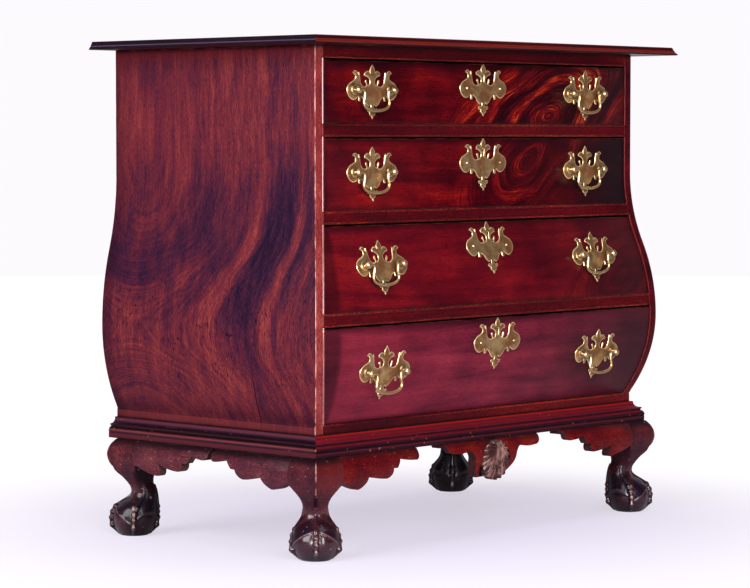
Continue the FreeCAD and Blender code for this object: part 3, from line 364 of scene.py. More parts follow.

# %% [markdown]
# Old polish is never even, and edges lose their colour first. One group turns the mark that
# bevelled edges carry into patchy wear; on the legs and the shell the same mark paints
# highlights.

# %% Shared wear group
wear_group, given, result = new_group("edge_wear", ["Vector", "Edge", "Scale", "Amount"], ["Wear"])
patches = remap(wear_group, noise(wear_group, given["Vector"], given["Scale"], 4.0), 0.38, 0.62)
worn_edge = times(wear_group, given["Edge"], patches)
wear_group.links.new(maths(wear_group, "MULTIPLY", worn_edge, given["Amount"], clamp=True), result["Wear"])

# %% [markdown]
# Wax and dust stay where a cloth can't reach: beside beads, in quirks and under carving, and shade falls in
# the same places. The ambient occlusion node finds such places; the group paints both grime and shade there,
# and noise makes it uneven. Woods and brass both use this group.

# %% Shared group of grime and painted shade
grime_and_shade_group, given, result = new_group("grime_and_shade", ["Vector", "Amount"], ["Grime"])
openness = node(grime_and_shade_group, "ShaderNodeAmbientOcclusion", {"Distance": 0.012}, samples=8).outputs["AO"]
shut_in = remap(grime_and_shade_group, openness, 0.93, 0.45, smooth=False)
uneven = remap(grime_and_shade_group, noise(grime_and_shade_group, given["Vector"], 60.0, 3.0), 0.2, 0.6, 0.6, 1.0)
dirt_and_shade = times(grime_and_shade_group, shut_in, uneven)
grime_and_shade_group.links.new(maths(grime_and_shade_group, "MULTIPLY", dirt_and_shade, given["Amount"], clamp=True), result["Grime"])

# %% [markdown]
# A wood material needs a figure, which is the large pattern that the saw laid open, plus
# the shared grain. The figure comes in as a function, so that straight-grained rails,
# the swept sides and the swirling drawer fronts can use the same few lines.

# %% Figures of plain stock
AXES = {"X": (0, 1, 2), "Y": (1, 0, 2), "Z": (2, 0, 1)}


def turned(tree, along):
    """Object coordinates whole, in parts, and with the grain's direction first."""
    place = node(tree, "ShaderNodeTexCoord").outputs["Object"]
    parts = node(tree, "ShaderNodeSeparateXYZ", {0: place}).outputs
    return place, parts, joined(tree, *(parts[index] for index in AXES[along]))


def straight_figure(tree, place, parts, vector, tone):
    """Quiet figure of straight-grained stock."""
    return plus(tree, times(tree, tone, 1.1), -0.05)


def patchy_figure(tree, place, parts, vector, tone):
    """Straight grain under a polish that wore through in patches."""
    patch = noise(tree, place, 22.0, 3.0)
    both = plus(tree, times(tree, tone, 0.7), times(tree, patch, 0.9))
    return maths(tree, "SUBTRACT", both, 0.3)


# %% Wood material
# Colour of grime and of painted shade in crevices.
GRIME_AND_SHADE_COLOUR = (16, 5, 9)


def placed_group(tree, group, vector, **values):
    """A shared group in a material, with its own values."""
    return node(tree, "ShaderNodeGroup", {"Vector": vector, **values}, node_tree=group).outputs


def wood(name, along, stops, figure=straight_figure, rough=0.34, coat=0.12, wear=0.5,
         worn=(150, 80, 55), bump=0.12, marks=None, flecks=0.3, grime_and_shade=0.95, coat_rough=0.14,
         coat_ior=1.5, gloss=0.12, chips=0.0):
    """Polished wood with its grain along an axis; figure, marks and coat may add nodes."""
    material = bpy.data.materials.new(name)
    tree = tree_of(material)
    place, parts, vector = turned(tree, along)
    grain = placed_group(tree, grain_group, vector)
    fibre, pores = grain["Fibre"], grain["Pores"]
    pattern = figure(tree, place, parts, vector, grain["Tone"])
    pattern = plus(tree, pattern, about_zero(tree, fibre, 0.34), about_zero(tree, grain["Fleck"], flecks))
    colour = tint(tree, ramp(tree, pattern, stops), times(tree, pores, 0.6), stops[0][1])
    if marks:
        colour = marks(tree, parts, colour)
    rubbed = placed_group(tree, wear_group, place, Edge=mask(tree, "arris"), Scale=45.0, Amount=wear)
    colour = tint(tree, colour, rubbed["Wear"], worn)
    if chips:
        knocks = noise(tree, place, 170.0, 1.0)
        colour = tint(tree, colour, remap(tree, knocks, 0.72, 0.76, 0.0, chips), worn)
    # Grime and painted shade in crevices.
    dirt_and_shade = placed_group(tree, grime_and_shade_group, place, Amount=grime_and_shade)["Grime"]
    colour = tint(tree, colour, dirt_and_shade, GRIME_AND_SHADE_COLOUR)
    smears = noise(tree, place, 7.0, 4.0)
    roughness = plus(tree, times(tree, smears, 0.22), rough - 0.11)
    roughness = maths(tree, "ADD", roughness, times(tree, dirt_and_shade, 0.3), clamp=True)
    height = plus(tree, times(tree, fibre, 0.5), times(tree, pores, -0.6), times(tree, smears, 2.0))
    relief = node(tree, "ShaderNodeBump", {"Height": height, "Strength": bump, "Distance": 0.001})
    surface = node(
        tree, "ShaderNodeBsdfPrincipled",
        {"Base Color": colour, "Roughness": roughness, "Normal": relief.outputs[0],
         "Coat Weight": coat(tree, parts) if callable(coat) else coat,
         "Coat Roughness": coat_rough, "Coat IOR": coat_ior, "Specular IOR Level": gloss},
    )
    node(tree, "ShaderNodeOutputMaterial", {"Surface": surface.outputs[0]})
    print("wood", name)
    return material


# %% [markdown]
# The sides are cut from one thick plank. Where the bulge stands out, the saw went through
# other year rings, so the stripes swerve with the bulge and close in pointed arches.
# The pattern is the distance from the heart of the tree: further out where the side bulges.

# %% Figure of the sides
HEART_Y = 0.185
HEART_DEPTH = 0.03
SAW_DEPTH = 0.186
FIGURE_LOW, FIGURE_HIGH = 0.200, 0.640
# Bulge by height, both as shares.
BULGE = ((0.0, 0.12), (0.18, 0.62), (0.36, 1.0), (0.55, 0.78), (0.75, 0.27), (1.0, 0.0))
# Light and dark years: distance from the heart, doubled, and lightness.
YEARS = (
    (0.0, 0.42), (0.08, 0.36), (0.16, 0.56), (0.24, 0.44), (0.33, 0.34), (0.42, 0.54), (0.47, 0.44),
    (0.51, 0.52), (0.552, 0.74), (0.574, 0.68), (0.590, 0.30), (0.66, 0.14), (0.71, 0.24), (0.733, 0.56),
    (0.763, 0.70), (0.785, 0.30), (0.83, 0.56), (0.9, 0.42), (1.0, 0.45),
)


def side_figure(tree, place, parts, vector, tone):
    """Year rings about the heart of the tree, with threads, streaks and clouds over them."""
    level = parts["Z"]
    bulge = by_curve(tree, remap(tree, level, FIGURE_LOW, FIGURE_HIGH, smooth=False), BULGE)
    wander = about_zero(tree, noise(tree, place, 3.0), 0.07)
    across = plus(tree, maths(tree, "SUBTRACT", parts["Y"], HEART_Y), wander)
    depth = plus(tree, times(tree, bulge, SAW_DEPTH), HEART_DEPTH)
    squares = plus(tree, maths(tree, "POWER", maths(tree, "ABSOLUTE", across), 2.0),
                   maths(tree, "POWER", depth, 2.0))
    ring = maths(tree, "SQRT", squares)
    coordinates = joined(tree, ring, times(tree, level, 0.09))
    years = by_curve(tree, times(tree, ring, 2.0), YEARS)
    swing = times(tree, remap(tree, level, 0.66, 0.50, 0.22, 1.0), remap(tree, level, 0.26, 0.40, 0.35, 1.0))
    shadow = times(tree, remap(tree, level, 0.36, 0.50), remap(tree, level, 0.70, 0.55))
    outer = remap(tree, ring, 0.06, 0.17, 0.1, 0.45)
    return plus(
        tree,
        times(tree, maths(tree, "SUBTRACT", years, 0.56), times(tree, swing, 0.72)),
        times(tree, shadow, -0.12),
        about_zero(tree, noise(tree, coordinates, 120.0, 3.0), 0.42),
        about_zero(tree, noise(tree, coordinates, 480.0), outer),
        about_zero(tree, stretched_noise(tree, vector, (6.0, 60.0, 60.0), 3.0, 0.6), 0.5),
        about_zero(tree, stretched_noise(tree, vector, (3.0, 9.0, 9.0), 4.0, 0.6), 0.4),
        0.5,
    )


# %% [markdown]
# Two centuries left their marks on the sides: a drying crack that runs up from the base and
# small dents full of black wax where the bulge gets knocked. The back edge and the foot get painted shade.

# %% Marks on the sides
STRIP_TOP = 0.2125
CRACK_TOP, CRACK_FOOT, CRACK_Y, CRACK_WIDTH = 0.345, 0.25, -0.065, 0.0011
CRACK_LEAN = 0.09


def side_marks(tree, parts, colour):
    """Crack, dents, painted shade at the back edge and foot, and the strip at the foot."""
    level = parts["Z"]
    wobble = noise(tree, node(tree, "ShaderNodeCombineXYZ", {2: level}).outputs[0], 18.0)
    line = plus(tree, about_zero(tree, wobble, 0.012), times(tree, level, CRACK_LEAN))
    gap = maths(tree, "ABSOLUTE", maths(tree, "SUBTRACT", plus(tree, parts["Y"], line), CRACK_Y))
    width = remap(tree, level, CRACK_TOP, CRACK_FOOT, 0.0, CRACK_WIDTH, smooth=False)
    crack = times(tree, maths(tree, "LESS_THAN", gap, width), 0.95)
    colour = tint(tree, colour, crack, (14, 4, 10))
    place = joined(tree, *(parts[index] for index in (0, 1, 2)))
    dents = remap(tree, stretched_noise(tree, place, (1.0, 260.0, 120.0), 1.0), 0.66, 0.69)
    where = remap(tree, stretched_noise(tree, place, (1.0, 16.0, 16.0), 1.0), 0.48, 0.6)
    on_bulge = times(tree, remap(tree, level, 0.23, 0.30), remap(tree, level, 0.60, 0.42))
    colour = tint(tree, colour, times(tree, times(tree, dents, where), on_bulge), (22, 8, 34))
    # Brighter where the overhang kept the sun off; painted shade along the back edge and at the foot.
    colour = tint(tree, colour, remap(tree, level, 0.800, 0.822, 0.0, 0.4), (126, 34, 30))
    painted_shade_edges = plus(tree, remap(tree, parts["Y"], 0.225, 0.267, 0.0, 0.45),
                remap(tree, level, 0.25, 0.213, 0.0, 0.45))
    colour = tint(tree, colour, painted_shade_edges, (44, 10, 24))
    strip = maths(tree, "LESS_THAN", level, STRIP_TOP)
    return tint(tree, colour, times(tree, strip, 0.3), (140, 56, 52))


SIDE_STOPS = [
    (0.0, (24, 10, 34)), (0.25, (58, 24, 46)), (0.5, (104, 36, 44)), (0.72, (138, 56, 52)),
    (1.0, (176, 96, 76)),
]
side_wood = wood("side_mahogany", "Z", SIDE_STOPS, side_figure, rough=0.5, coat=0.0, gloss=0.04,
                 worn=(225, 160, 130), wear=1.0, marks=side_marks, flecks=0.32)

# %% [markdown]
# The drawer fronts come from the fork of a branch, where the grain swirls. Rings about a
# point beside the lock are pulled out of shape by noise, and fade into straight grain.

# %% Figure of the drawer fronts
SWIRL_TURN, SWIRL_STRETCH = -0.45, (1.8, 1.0, 0.75)


def swirl_figure(centre, size, strength, seed):
    """Arcs about a place on the front, fading into straight grain."""
    def figure(tree, place, parts, vector, tone):
        x = maths(tree, "SUBTRACT", parts["X"], centre[0])
        z = maths(tree, "SUBTRACT", parts["Z"], centre[1])
        start = joined(tree, x, seed, z)
        pull = node(tree, "ShaderNodeTexNoise", {"Vector": start, "Scale": 5.5, "Detail": 1.0})
        pull = vectors(tree, "SUBTRACT", {0: pull.outputs["Color"], 1: (0.5, 0.5, 0.5)})
        bent = vectors(tree, "ADD", {0: start, 1: vectors(tree, "SCALE", {0: pull, 3: 0.06})})
        bent = vectors(tree, "MULTIPLY", {0: bent, 1: (1.0, 0.0, 1.0)})
        bent = node(
            tree, "ShaderNodeMapping",
            {"Vector": bent, "Rotation": (0, SWIRL_TURN, 0), "Scale": SWIRL_STRETCH}, vector_type="TEXTURE",
        ).outputs[0]
        ring = vectors(tree, "LENGTH", {0: bent}, "Value")
        coordinates = joined(tree, ring, times(tree, x, 0.06), plus(tree, times(tree, z, 0.06), seed))
        broad = noise(tree, coordinates, 36.0, 1.0)
        fine = noise(tree, coordinates, 300.0, 4.0, 0.75)
        patch = noise(tree, start, 11.0)
        near = times(tree, remap(tree, ring, size, 0.35 * size), remap(tree, patch, 0.34, 0.54, 0.45, 1.0))
        straight = stretched_noise(tree, vector, (3.4, 46.0, 34.0), 4.0, 0.6, 0.8)
        calm = plus(tree, times(tree, straight, 0.6), times(tree, tone, 0.4), about_zero(tree, patch, 0.5))
        flames = plus(tree, times(tree, broad, 1.5), times(tree, fine, 1.9), -1.2)
        both = node(tree, "ShaderNodeMix", {0: times(tree, near, strength), 2: calm, 3: flames}).outputs[0]
        return remap(tree, both, 0.26, 0.84, smooth=False)
    return figure


def front_light_and_shade(number, near, far):
    """Painted shade at the edges and towards the right, painted sheen at the left end; near is the sheen's
    strength, far how dark the right end is.
    """
    low, high = levels_of(f"drawer_{number}_front")

    def marks(tree, parts, colour):
        z, x = parts["Z"], parts["X"]
        # Painted sheen over the left end.
        colour = tint(tree, colour, remap(tree, x, -0.06, -0.30, 0.0, near), (176, 52, 62))
        # Painted shade along the top and bottom edges, at the left end and growing towards the right.
        dark = larger(tree, remap(tree, z, high - 0.020, high - 0.001, 0.0, 0.7),
                      remap(tree, z, low + 0.010, low + 0.001, 0.0, 0.5))
        dark = larger(tree, dark, remap(tree, x, -0.378, -0.392, 0.0, 0.6))
        dark = larger(tree, dark, remap(tree, x, 0.02, 0.40, 0.0, far))
        colour = tint(tree, colour, dark, (24, 2, 12))
        # Painted shadow of the gap under the rail above.
        line = maths(tree, "GREATER_THAN", z, high - 0.0024)
        return tint(tree, colour, times(tree, line, 0.9), (6, 2, 4))
    return marks


# %% Woods of the drawer fronts
FRONT_STOPS = [
    (0.0, (26, 0, 8)), (0.35, (72, 2, 12)), (0.6, (116, 8, 14)), (0.82, (166, 30, 14)),
    (1.0, (226, 82, 28)),
]
LOWER_STOPS = [
    (0.0, (50, 2, 16)), (0.4, (102, 10, 22)), (0.7, (134, 20, 26)), (1.0, (180, 46, 26)),
]
LAST_STOPS = [
    (0.0, (58, 8, 28)), (0.4, (116, 26, 46)), (0.7, (144, 40, 58)), (1.0, (174, 62, 66)),
]
# Colours, the swirl's centre, size and strength, roughness, flecks, painted sheen at the left end and
# painted shade at the right end.
FRONT_RECIPES = {
    1: (FRONT_STOPS, (0.165, 0.715), 0.24, 1.0, 0.3, 0.24, 0.0, 0.4),
    2: (FRONT_STOPS, (0.120, 0.636), 0.16, 0.6, 0.3, 0.24, 0.07, 0.95),
    3: (LOWER_STOPS, (0.34, 0.43), 0.15, 0.6, 0.32, 0.24, 0.0, 0.5),
    4: (LAST_STOPS, (0.9, 0.3), 0.1, 0.0, 0.34, 0.26, 0.12, 0.65),
}
front_woods = {}
for number, (stops, centre, size, strength, rough, flecks, near, far) in FRONT_RECIPES.items():
    front_woods[number] = wood(
        f"drawer_{number}_mahogany", "X", stops, swirl_figure(centre, size, strength, float(number)),
        rough=rough, coat=0.06, bump=0.1, flecks=flecks, marks=front_light_and_shade(number, near, far),
    )

# %% [markdown]
# Mouldings are dark in their hollows and bright on their arrises, and both follow the profile.
# Their colour is written as bands by height, with wax and painted shade in the hollows and wear
# and painted highlights on the arrises, and the grain shows through.

# %% Bands and shadows
MOULDING_LOW, MOULDING_HIGH = levels_of("moulding_front")
TOP_BAND_HIGH = CASE_TOP + 0.0138
# Colour of painted shadow.
PAINTED_SHADOW = (8, 4, 9)


def banded(low, high, stops, share):
    """Wax and painted shade in the hollows, wear and painted highlights on the arrises, by height; stops run
    from low to high.
    """
    def marks(tree, parts, colour):
        level = remap(tree, parts["Z"], low, high, smooth=False)
        return blend(tree, share, colour, ramp(tree, level, stops))
    return marks


def shaded(reach, full, share):
    """Painted shadow under the base moulding, from its reach below to where it is full."""
    def marks(tree, parts, colour):
        dark = remap(tree, parts["Z"], UNDERSIDE - reach, UNDERSIDE - full, 0.0, share)
        return tint(tree, colour, dark, PAINTED_SHADOW)
    return marks


# The bands paint each profile's shade and highlights along with its wax and wear.
FRONT_BANDS = [
    (0.0, (60, 10, 22)), (0.06, (44, 8, 20)), (0.10, (26, 6, 16)), (0.145, (44, 16, 42)),
    (0.19, (104, 16, 28)), (0.22, (60, 10, 20)), (0.26, (14, 5, 10)), (0.33, (26, 6, 16)),
    (0.38, (46, 10, 24)), (0.43, (64, 16, 44)), (0.49, (116, 20, 26)), (0.53, (112, 18, 22)),
    (0.58, (54, 8, 24)), (0.62, (60, 10, 26)), (0.67, (104, 20, 46)), (0.76, (140, 26, 26)),
    (0.83, (112, 20, 40)), (0.87, (104, 16, 34)), (0.93, (168, 28, 16)), (0.97, (140, 18, 12)),
    (1.0, (20, 6, 12)),
]
SIDE_BANDS = [
    (0.0, (70, 24, 36)), (0.06, (88, 30, 38)), (0.20, (92, 30, 36)), (0.26, (54, 22, 42)),
    (0.33, (60, 28, 48)), (0.37, (108, 50, 52)), (0.42, (118, 54, 52)), (0.45, (80, 10, 14)),
    (0.48, (10, 4, 8)), (0.55, (10, 4, 8)), (0.585, (76, 32, 56)), (0.62, (66, 28, 50)),
    (0.65, (8, 4, 7)), (0.72, (10, 5, 9)), (0.78, (44, 20, 38)), (0.85, (96, 42, 58)),
    (0.93, (100, 42, 58)), (0.975, (24, 9, 20)), (1.0, (20, 8, 16)),
]
TOP_BANDS = [
    (0.0, (16, 4, 10)), (0.18, (30, 8, 16)), (0.24, (100, 20, 16)), (0.32, (140, 34, 12)),
    (0.40, (84, 12, 14)), (0.48, (146, 38, 12)), (0.56, (118, 26, 12)), (0.62, (56, 12, 18)),
    (0.70, (22, 8, 16)), (0.90, (40, 8, 16)), (0.97, (110, 40, 40)), (1.0, (96, 22, 24)),
]
TOP_END_BANDS = [
    (0.0, (14, 5, 10)), (0.34, (18, 6, 12)), (0.40, (96, 72, 104)), (0.48, (86, 62, 94)),
    (0.53, (28, 14, 22)), (1.0, (20, 12, 22)),
]

# %% Woods of mouldings, rails and aprons
RED_STOPS = [(0.0, (44, 4, 10)), (0.4, (84, 12, 20)), (0.7, (120, 28, 26)), (1.0, (160, 58, 34))]
DIM_STOPS = [(0.0, (22, 4, 16)), (0.4, (44, 12, 26)), (0.7, (76, 24, 32)), (1.0, (118, 48, 42))]
STILE_STOPS = [(0.0, (70, 12, 24)), (0.5, (158, 52, 50)), (1.0, (216, 110, 90))]
RAIL_STOPS = [(0.0, (26, 0, 8)), (0.4, (68, 3, 14)), (0.7, (112, 12, 18)), (1.0, (178, 54, 28))]
TOP_END_STOPS = [(0.0, (14, 4, 12)), (0.5, (30, 10, 20)), (1.0, (70, 26, 36))]
APRON_STOPS = [(0.0, (48, 3, 12)), (0.4, (96, 10, 16)), (0.7, (138, 26, 16)), (1.0, (190, 72, 32))]
END_APRON_STOPS = [(0.0, (28, 10, 24)), (0.4, (70, 28, 42)), (0.7, (104, 46, 52)), (1.0, (150, 84, 68))]
WAXED = {"rough": 0.42, "coat": 0.04, "wear": 0.6}
stile_wood = wood("stile_mahogany", "Z", STILE_STOPS, patchy_figure, rough=0.35, coat=0.15, wear=0.9,
                  worn=(240, 190, 170), flecks=0.7)
rail_wood = wood("rail_mahogany", "X", RAIL_STOPS, rough=0.4, coat=0.04, wear=0.6, worn=(150, 66, 60),
                 flecks=0.45)
moulding_wood = wood("moulding_mahogany", "X", RED_STOPS, **WAXED, worn=(190, 110, 96), chips=0.7,
                     marks=banded(MOULDING_LOW, MOULDING_HIGH, FRONT_BANDS, 0.92), flecks=0.5)
moulding_wood_y = wood("side_moulding_mahogany", "Y", DIM_STOPS, **WAXED, worn=(170, 116, 110), chips=0.6,
                       marks=banded(MOULDING_LOW, MOULDING_HIGH, SIDE_BANDS, 0.85), flecks=0.5)
top_wood = wood("top_mahogany", "X", RED_STOPS, rough=0.3, coat=0.05, wear=0.5, worn=(150, 76, 62),
                marks=banded(CASE_TOP, TOP_BAND_HIGH, TOP_BANDS, 0.75), flecks=0.45)
top_side_wood = wood("top_end_mahogany", "Y", TOP_END_STOPS, rough=0.4, coat=0.02, wear=0.5,
                     worn=(90, 50, 70), marks=banded(CASE_TOP, TOP_BAND_HIGH, TOP_END_BANDS, 0.75))
# The aprons carry painted shadow under the base moulding.
apron_wood = wood("apron_mahogany", "X", APRON_STOPS, patchy_figure, **WAXED, worn=(170, 96, 70),
                  chips=0.6, flecks=0.6, marks=shaded(0.013, 0.001, 0.55))
apron_wood_y = wood("side_apron_mahogany", "Y", END_APRON_STOPS, patchy_figure, **WAXED,
                    worn=(160, 104, 92), chips=0.6, flecks=0.6, marks=shaded(0.016, 0.0015, 0.92))

# %% [markdown]
# The feet are waxed and rubbed, and their webs stay dull. The carving will put numbers on its
# faces for this: web and rim for the skin over the ball, which get painted shade and a painted
# highlight, fore for the flat of the knee that looks forwards or back, which gets painted light,
# and in_shade for what looks in under the chest, which gets painted shade.

# %% Wood of the legs
def foot_gloss(tree, parts):
    """The feet are waxed and rubbed; the knees are nearly dull."""
    gloss = remap(tree, parts["Z"], 0.090, 0.070, 0.06, 0.9)
    dull = larger(tree, times(tree, mask(tree, "web"), 0.45), times(tree, mask(tree, "in_shade"), 0.9))
    return times(tree, gloss, maths(tree, "SUBTRACT", 1.0, dull))


def foot_marks(tree, parts, colour):
    """Painted shade in the bluish webs and the gouge, a painted highlight on the rim, painted light on the
    knees' forward flats and painted shadow under the base moulding and on faces in shade.
    """
    colour = tint(tree, colour, remap(tree, parts["Z"], 0.085, 0.050, 0.0, 0.38), (22, 8, 18))
    # Painted shade in the hollow webs and the gouge, and a painted highlight along the rim.
    colour = tint(tree, colour, times(tree, mask(tree, "web"), 0.8), (26, 12, 30))
    colour = tint(tree, colour, times(tree, mask(tree, "rim"), 0.55), (150, 104, 108))
    # Painted light on the knees' forward flats, stronger towards the left.
    painted_knee_light = remap(tree, parts["X"], -0.3, 0.3, 0.45, 0.05)
    colour = tint(tree, colour, times(tree, mask(tree, "fore"), painted_knee_light), (124, 32, 20))
    # Painted shadow under the base moulding and on faces in shade.
    shade = remap(tree, parts["Z"], UNDERSIDE - 0.015, UNDERSIDE - 0.0015, 0.0, 0.85)
    return tint(tree, colour, larger(tree, shade, mask(tree, "in_shade")), PAINTED_SHADOW)


LEG_STOPS = [(0.0, (24, 6, 20)), (0.4, (60, 20, 34)), (0.7, (98, 38, 42)), (1.0, (158, 78, 58))]
# Its worn colour serves chips and the painted highlights on knee arrises and knuckles.
leg_wood = wood("leg_mahogany", "Z", LEG_STOPS, patchy_figure, rough=0.4, coat=foot_gloss,
                coat_rough=0.17, coat_ior=1.65, wear=1.0, worn=(216, 160, 144), flecks=0.6, chips=0.35,
                marks=foot_marks)

# %% Woods of small parts
SHELL_STOPS = [(0.0, (30, 12, 16)), (0.5, (82, 40, 38)), (1.0, (134, 82, 66))]
CUT_STOPS = [(0.0, (24, 8, 14)), (0.5, (66, 32, 36)), (1.0, (128, 86, 74))]
# The left stile's beads carry a painted highlight along their length.
BEAD_HIGHLIGHT_STOPS = [(0.0, (110, 40, 46)), (0.5, (196, 112, 112)), (1.0, (246, 206, 200))]
RAIL_BEAD_STOPS = [(0.0, (30, 2, 8)), (0.5, (92, 12, 16)), (1.0, (214, 74, 44))]
PINE_STOPS = [(0.0, (112, 78, 48)), (0.45, (150, 112, 72)), (0.75, (176, 138, 94)), (1.0, (196, 160, 116))]
BARE = {"rough": 0.7, "coat": 0.0, "wear": 0.4, "worn": (206, 176, 136), "bump": 0.3, "grime_and_shade": 0.6}
# The shell's worn colour is the painted highlight on its rib crests.
shell_wood = wood("shell_mahogany", "Z", SHELL_STOPS, rough=0.34, coat=0.3, wear=1.0,
                  worn=(200, 150, 132), flecks=0.5)
cut_wood = wood("sawn_mahogany", "Z", CUT_STOPS, patchy_figure, rough=0.55, coat=0.0, wear=0.3, flecks=0.7)
bead_wood = wood("bead_mahogany", "Z", RED_STOPS, rough=0.4, coat=0.03, wear=0.5, grime_and_shade=0.3)
highlight_bead_wood = wood("painted_highlight_bead_mahogany", "Z", BEAD_HIGHLIGHT_STOPS, rough=0.22, coat=1.0, wear=0.5,
                        grime_and_shade=0.15)
rail_bead_wood = wood("rail_bead_mahogany", "X", RAIL_BEAD_STOPS, rough=0.4, coat=0.1, wear=0.5,
                      grime_and_shade=0.4, flecks=0.6)
pine_x = wood("pine_lengthwise", "X", PINE_STOPS, **BARE)
pine_y = wood("pine_crosswise", "Y", PINE_STOPS, **BARE)

# %% [markdown]
# ## Metal
# The plates and handles are cast brass that was polished for two centuries: bright on raised
# edges, brown where the cloth never reached. The locks are iron.

# %% Brass and iron
def metal(name, bright, dull, rough, patch_scale, dull_amount):
    """Cast metal under uneven tarnish, rubbed bright on its edges."""
    material = bpy.data.materials.new(name)
    tree = tree_of(material)
    place = node(tree, "ShaderNodeTexCoord").outputs["Object"]
    clouds = noise(tree, place, patch_scale, 5.0, 0.6)
    specks = noise(tree, place, 900.0)
    tarnish = remap(tree, clouds, 0.3, 0.62, 0.35 * dull_amount, dull_amount)
    tarnish = maths(tree, "ADD", tarnish, remap(tree, specks, 0.62, 0.75, 0.0, 0.35), clamp=True)
    edge = mask(tree, "arris")
    rubbed = times(tree, tarnish, maths(tree, "SUBTRACT", 1.0, times(tree, edge, 0.95)))
    colour = blend(tree, rubbed, paint(*bright), paint(*dull))
    # Grime and painted shade in crevices.
    dirt_and_shade = placed_group(tree, grime_and_shade_group, place, Amount=0.75)["Grime"]
    height = plus(tree, times(tree, specks, 0.4), clouds)
    relief = node(tree, "ShaderNodeBump", {"Height": height, "Strength": 0.15, "Distance": 0.0006})
    surface = node(tree, "ShaderNodeBsdfPrincipled", {
        "Base Color": tint(tree, colour, dirt_and_shade, (40, 26, 16)), "Normal": relief.outputs[0],
        "Roughness": plus(tree, times(tree, rubbed, 0.28), rough),
        "Metallic": maths(tree, "SUBTRACT", 0.88, times(tree, edge, 0.3)),
    })
    node(tree, "ShaderNodeOutputMaterial", {"Surface": surface.outputs[0]})
    print("metal", name)
    return material


plate_brass = metal("plate_brass", (255, 222, 158), (158, 106, 68), 0.27, 38.0, 1.0)
bail_brass = metal("bail_brass", (255, 224, 164), (176, 130, 86), 0.2, 60.0, 0.5)
iron = metal("lock_iron", (96, 92, 88), (44, 34, 30), 0.45, 60.0, 0.9)

# %% [markdown]
# ## Pieces and bodies
# Every shape below starts as a bmesh and ends in the same helper, which makes the object,
# hides the solid that it stands for and lets it ride on that solid's body.

# %% Helpers for pieces
SHARP_EDGE = math.radians(30.0)


def finish_piece(node_name, bm, body, slot, *materials, sharp=38.0):
    """Object from a bmesh, riding on its body in place of the solid that it stands for."""
    name = f"{node_name}_looks"
    mesh = bpy.data.meshes.new(name)
    bm.to_mesh(mesh)
    bm.free()
    mesh.shade_smooth()
    mesh.set_sharp_from_angle(angle=math.radians(sharp))
    for material in materials:
        mesh.materials.append(material)
    piece = bpy.data.objects.new(name, mesh)
    scene.collection.objects.link(piece)
    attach(piece, body)
    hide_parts(node_name)
    print(name, len(mesh.polygons), "faces")


def add_block(bm, low, high):
    """Box between two corners."""
    low, high = Vector(low), Vector(high)
    verts = bmesh.ops.create_cube(bm, size=1.0)["verts"]
    bmesh.ops.scale(bm, vec=high - low, verts=verts)
    bmesh.ops.translate(bm, vec=(low + high) / 2, verts=verts)


def soften(bm, width, segments=2):
    """Round the sharp edges a little and mark the new faces for wear."""
    mark = bm.faces.layers.float.get("arris") or bm.faces.layers.float.new("arris")
    edges = [edge for edge in bm.edges if edge.is_manifold and edge.calc_face_angle() > SHARP_EDGE]
    made = bmesh.ops.bevel(
        bm, geom=edges, offset=width, offset_type="OFFSET", segments=segments, profile=0.5,
        affect="EDGES", material=-1, clamp_overlap=True,
    )
    for face in made["faces"]:
        face[mark] = 1.0


def refined(node_name, width, material, slot, body="case", sawn=None, facing=1):
    """Copy of a solid's mesh, cleaned and with softened edges; sawn is for its cut edges."""
    bm = bmesh.new()
    bm.from_mesh(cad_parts[node_name].data)
    bmesh.ops.remove_doubles(bm, verts=bm.verts, dist=1e-6)
    bmesh.ops.dissolve_limit(
        bm, angle_limit=math.radians(0.6), verts=bm.verts, edges=bm.edges,
        use_dissolve_boundaries=False, delimit=set(),
    )
    soften(bm, width)
    if sawn is None:
        finish_piece(node_name, bm, body, slot, material)
        return
    for face in bm.faces:
        face.material_index = 1 if abs(face.normal[facing]) < 0.2 and face.normal.z < 0.7 else 0
    finish_piece(node_name, bm, body, slot, material, sawn)


# %% [markdown]
# ## The swell
# Front and sides share one curve: hollow above, round in the middle and tighter below. A
# straight board is cut into thin slices and each slice is moved out by this curve, which
# keeps every arris parallel, as a joiner's template would.

# %% The swell
LOWEST, WIDEST, TURN, STRAIGHT = OPENINGS[0][0], 0.359, 0.490, 0.615
radii_sum = (SWELL ** 2 + (STRAIGHT - WIDEST) ** 2) / (2 * SWELL)
ROUND = radii_sum * (TURN - WIDEST) / (STRAIGHT - WIDEST)
HOLLOW = radii_sum - ROUND
LOWER = (SWELL ** 2 + (WIDEST - LOWEST) ** 2) / (2 * SWELL)


def swell_at(height):
    """How far the case stands out at a height."""
    if height >= STRAIGHT or height <= LOWEST:
        return 0.0
    if height >= TURN:
        return HOLLOW - math.sqrt(HOLLOW ** 2 - (STRAIGHT - height) ** 2)
    radius = ROUND if height >= WIDEST else LOWER
    return SWELL - radius + math.sqrt(radius ** 2 - (height - WIDEST) ** 2)


def cut(bm, level):
    """Cut a mesh along a level plane."""
    everything = bm.verts[:] + bm.edges[:] + bm.faces[:]
    bmesh.ops.bisect_plane(bm, geom=everything, dist=1e-7, plane_co=(0, 0, level), plane_no=(0, 0, 1))


def slice_up(bm, low, high, step=0.006):
    """Cut a mesh into level slices."""
    count = max(1, round((high - low) / step))
    for index in range(1, count):
        cut(bm, low + (high - low) * index / count)


def swell_out(bm, direction):
    """Move every vertex out by the swell; direction(place) says which way."""
    for vert in bm.verts:
        vert.co += swell_at(vert.co.z) * Vector(direction(vert.co))


print("radii of the swell", [round(r, 3) for r in (HOLLOW, ROUND, LOWER)])

# %% [markdown]
# ## Rods and turned shapes
# Beads, handles, claws and posts are all rings of points that are drawn out along a line.
# One helper keeps the number of each point on its ring, so a ring can change its shape
# as it goes, from a square knee to a round ankle.

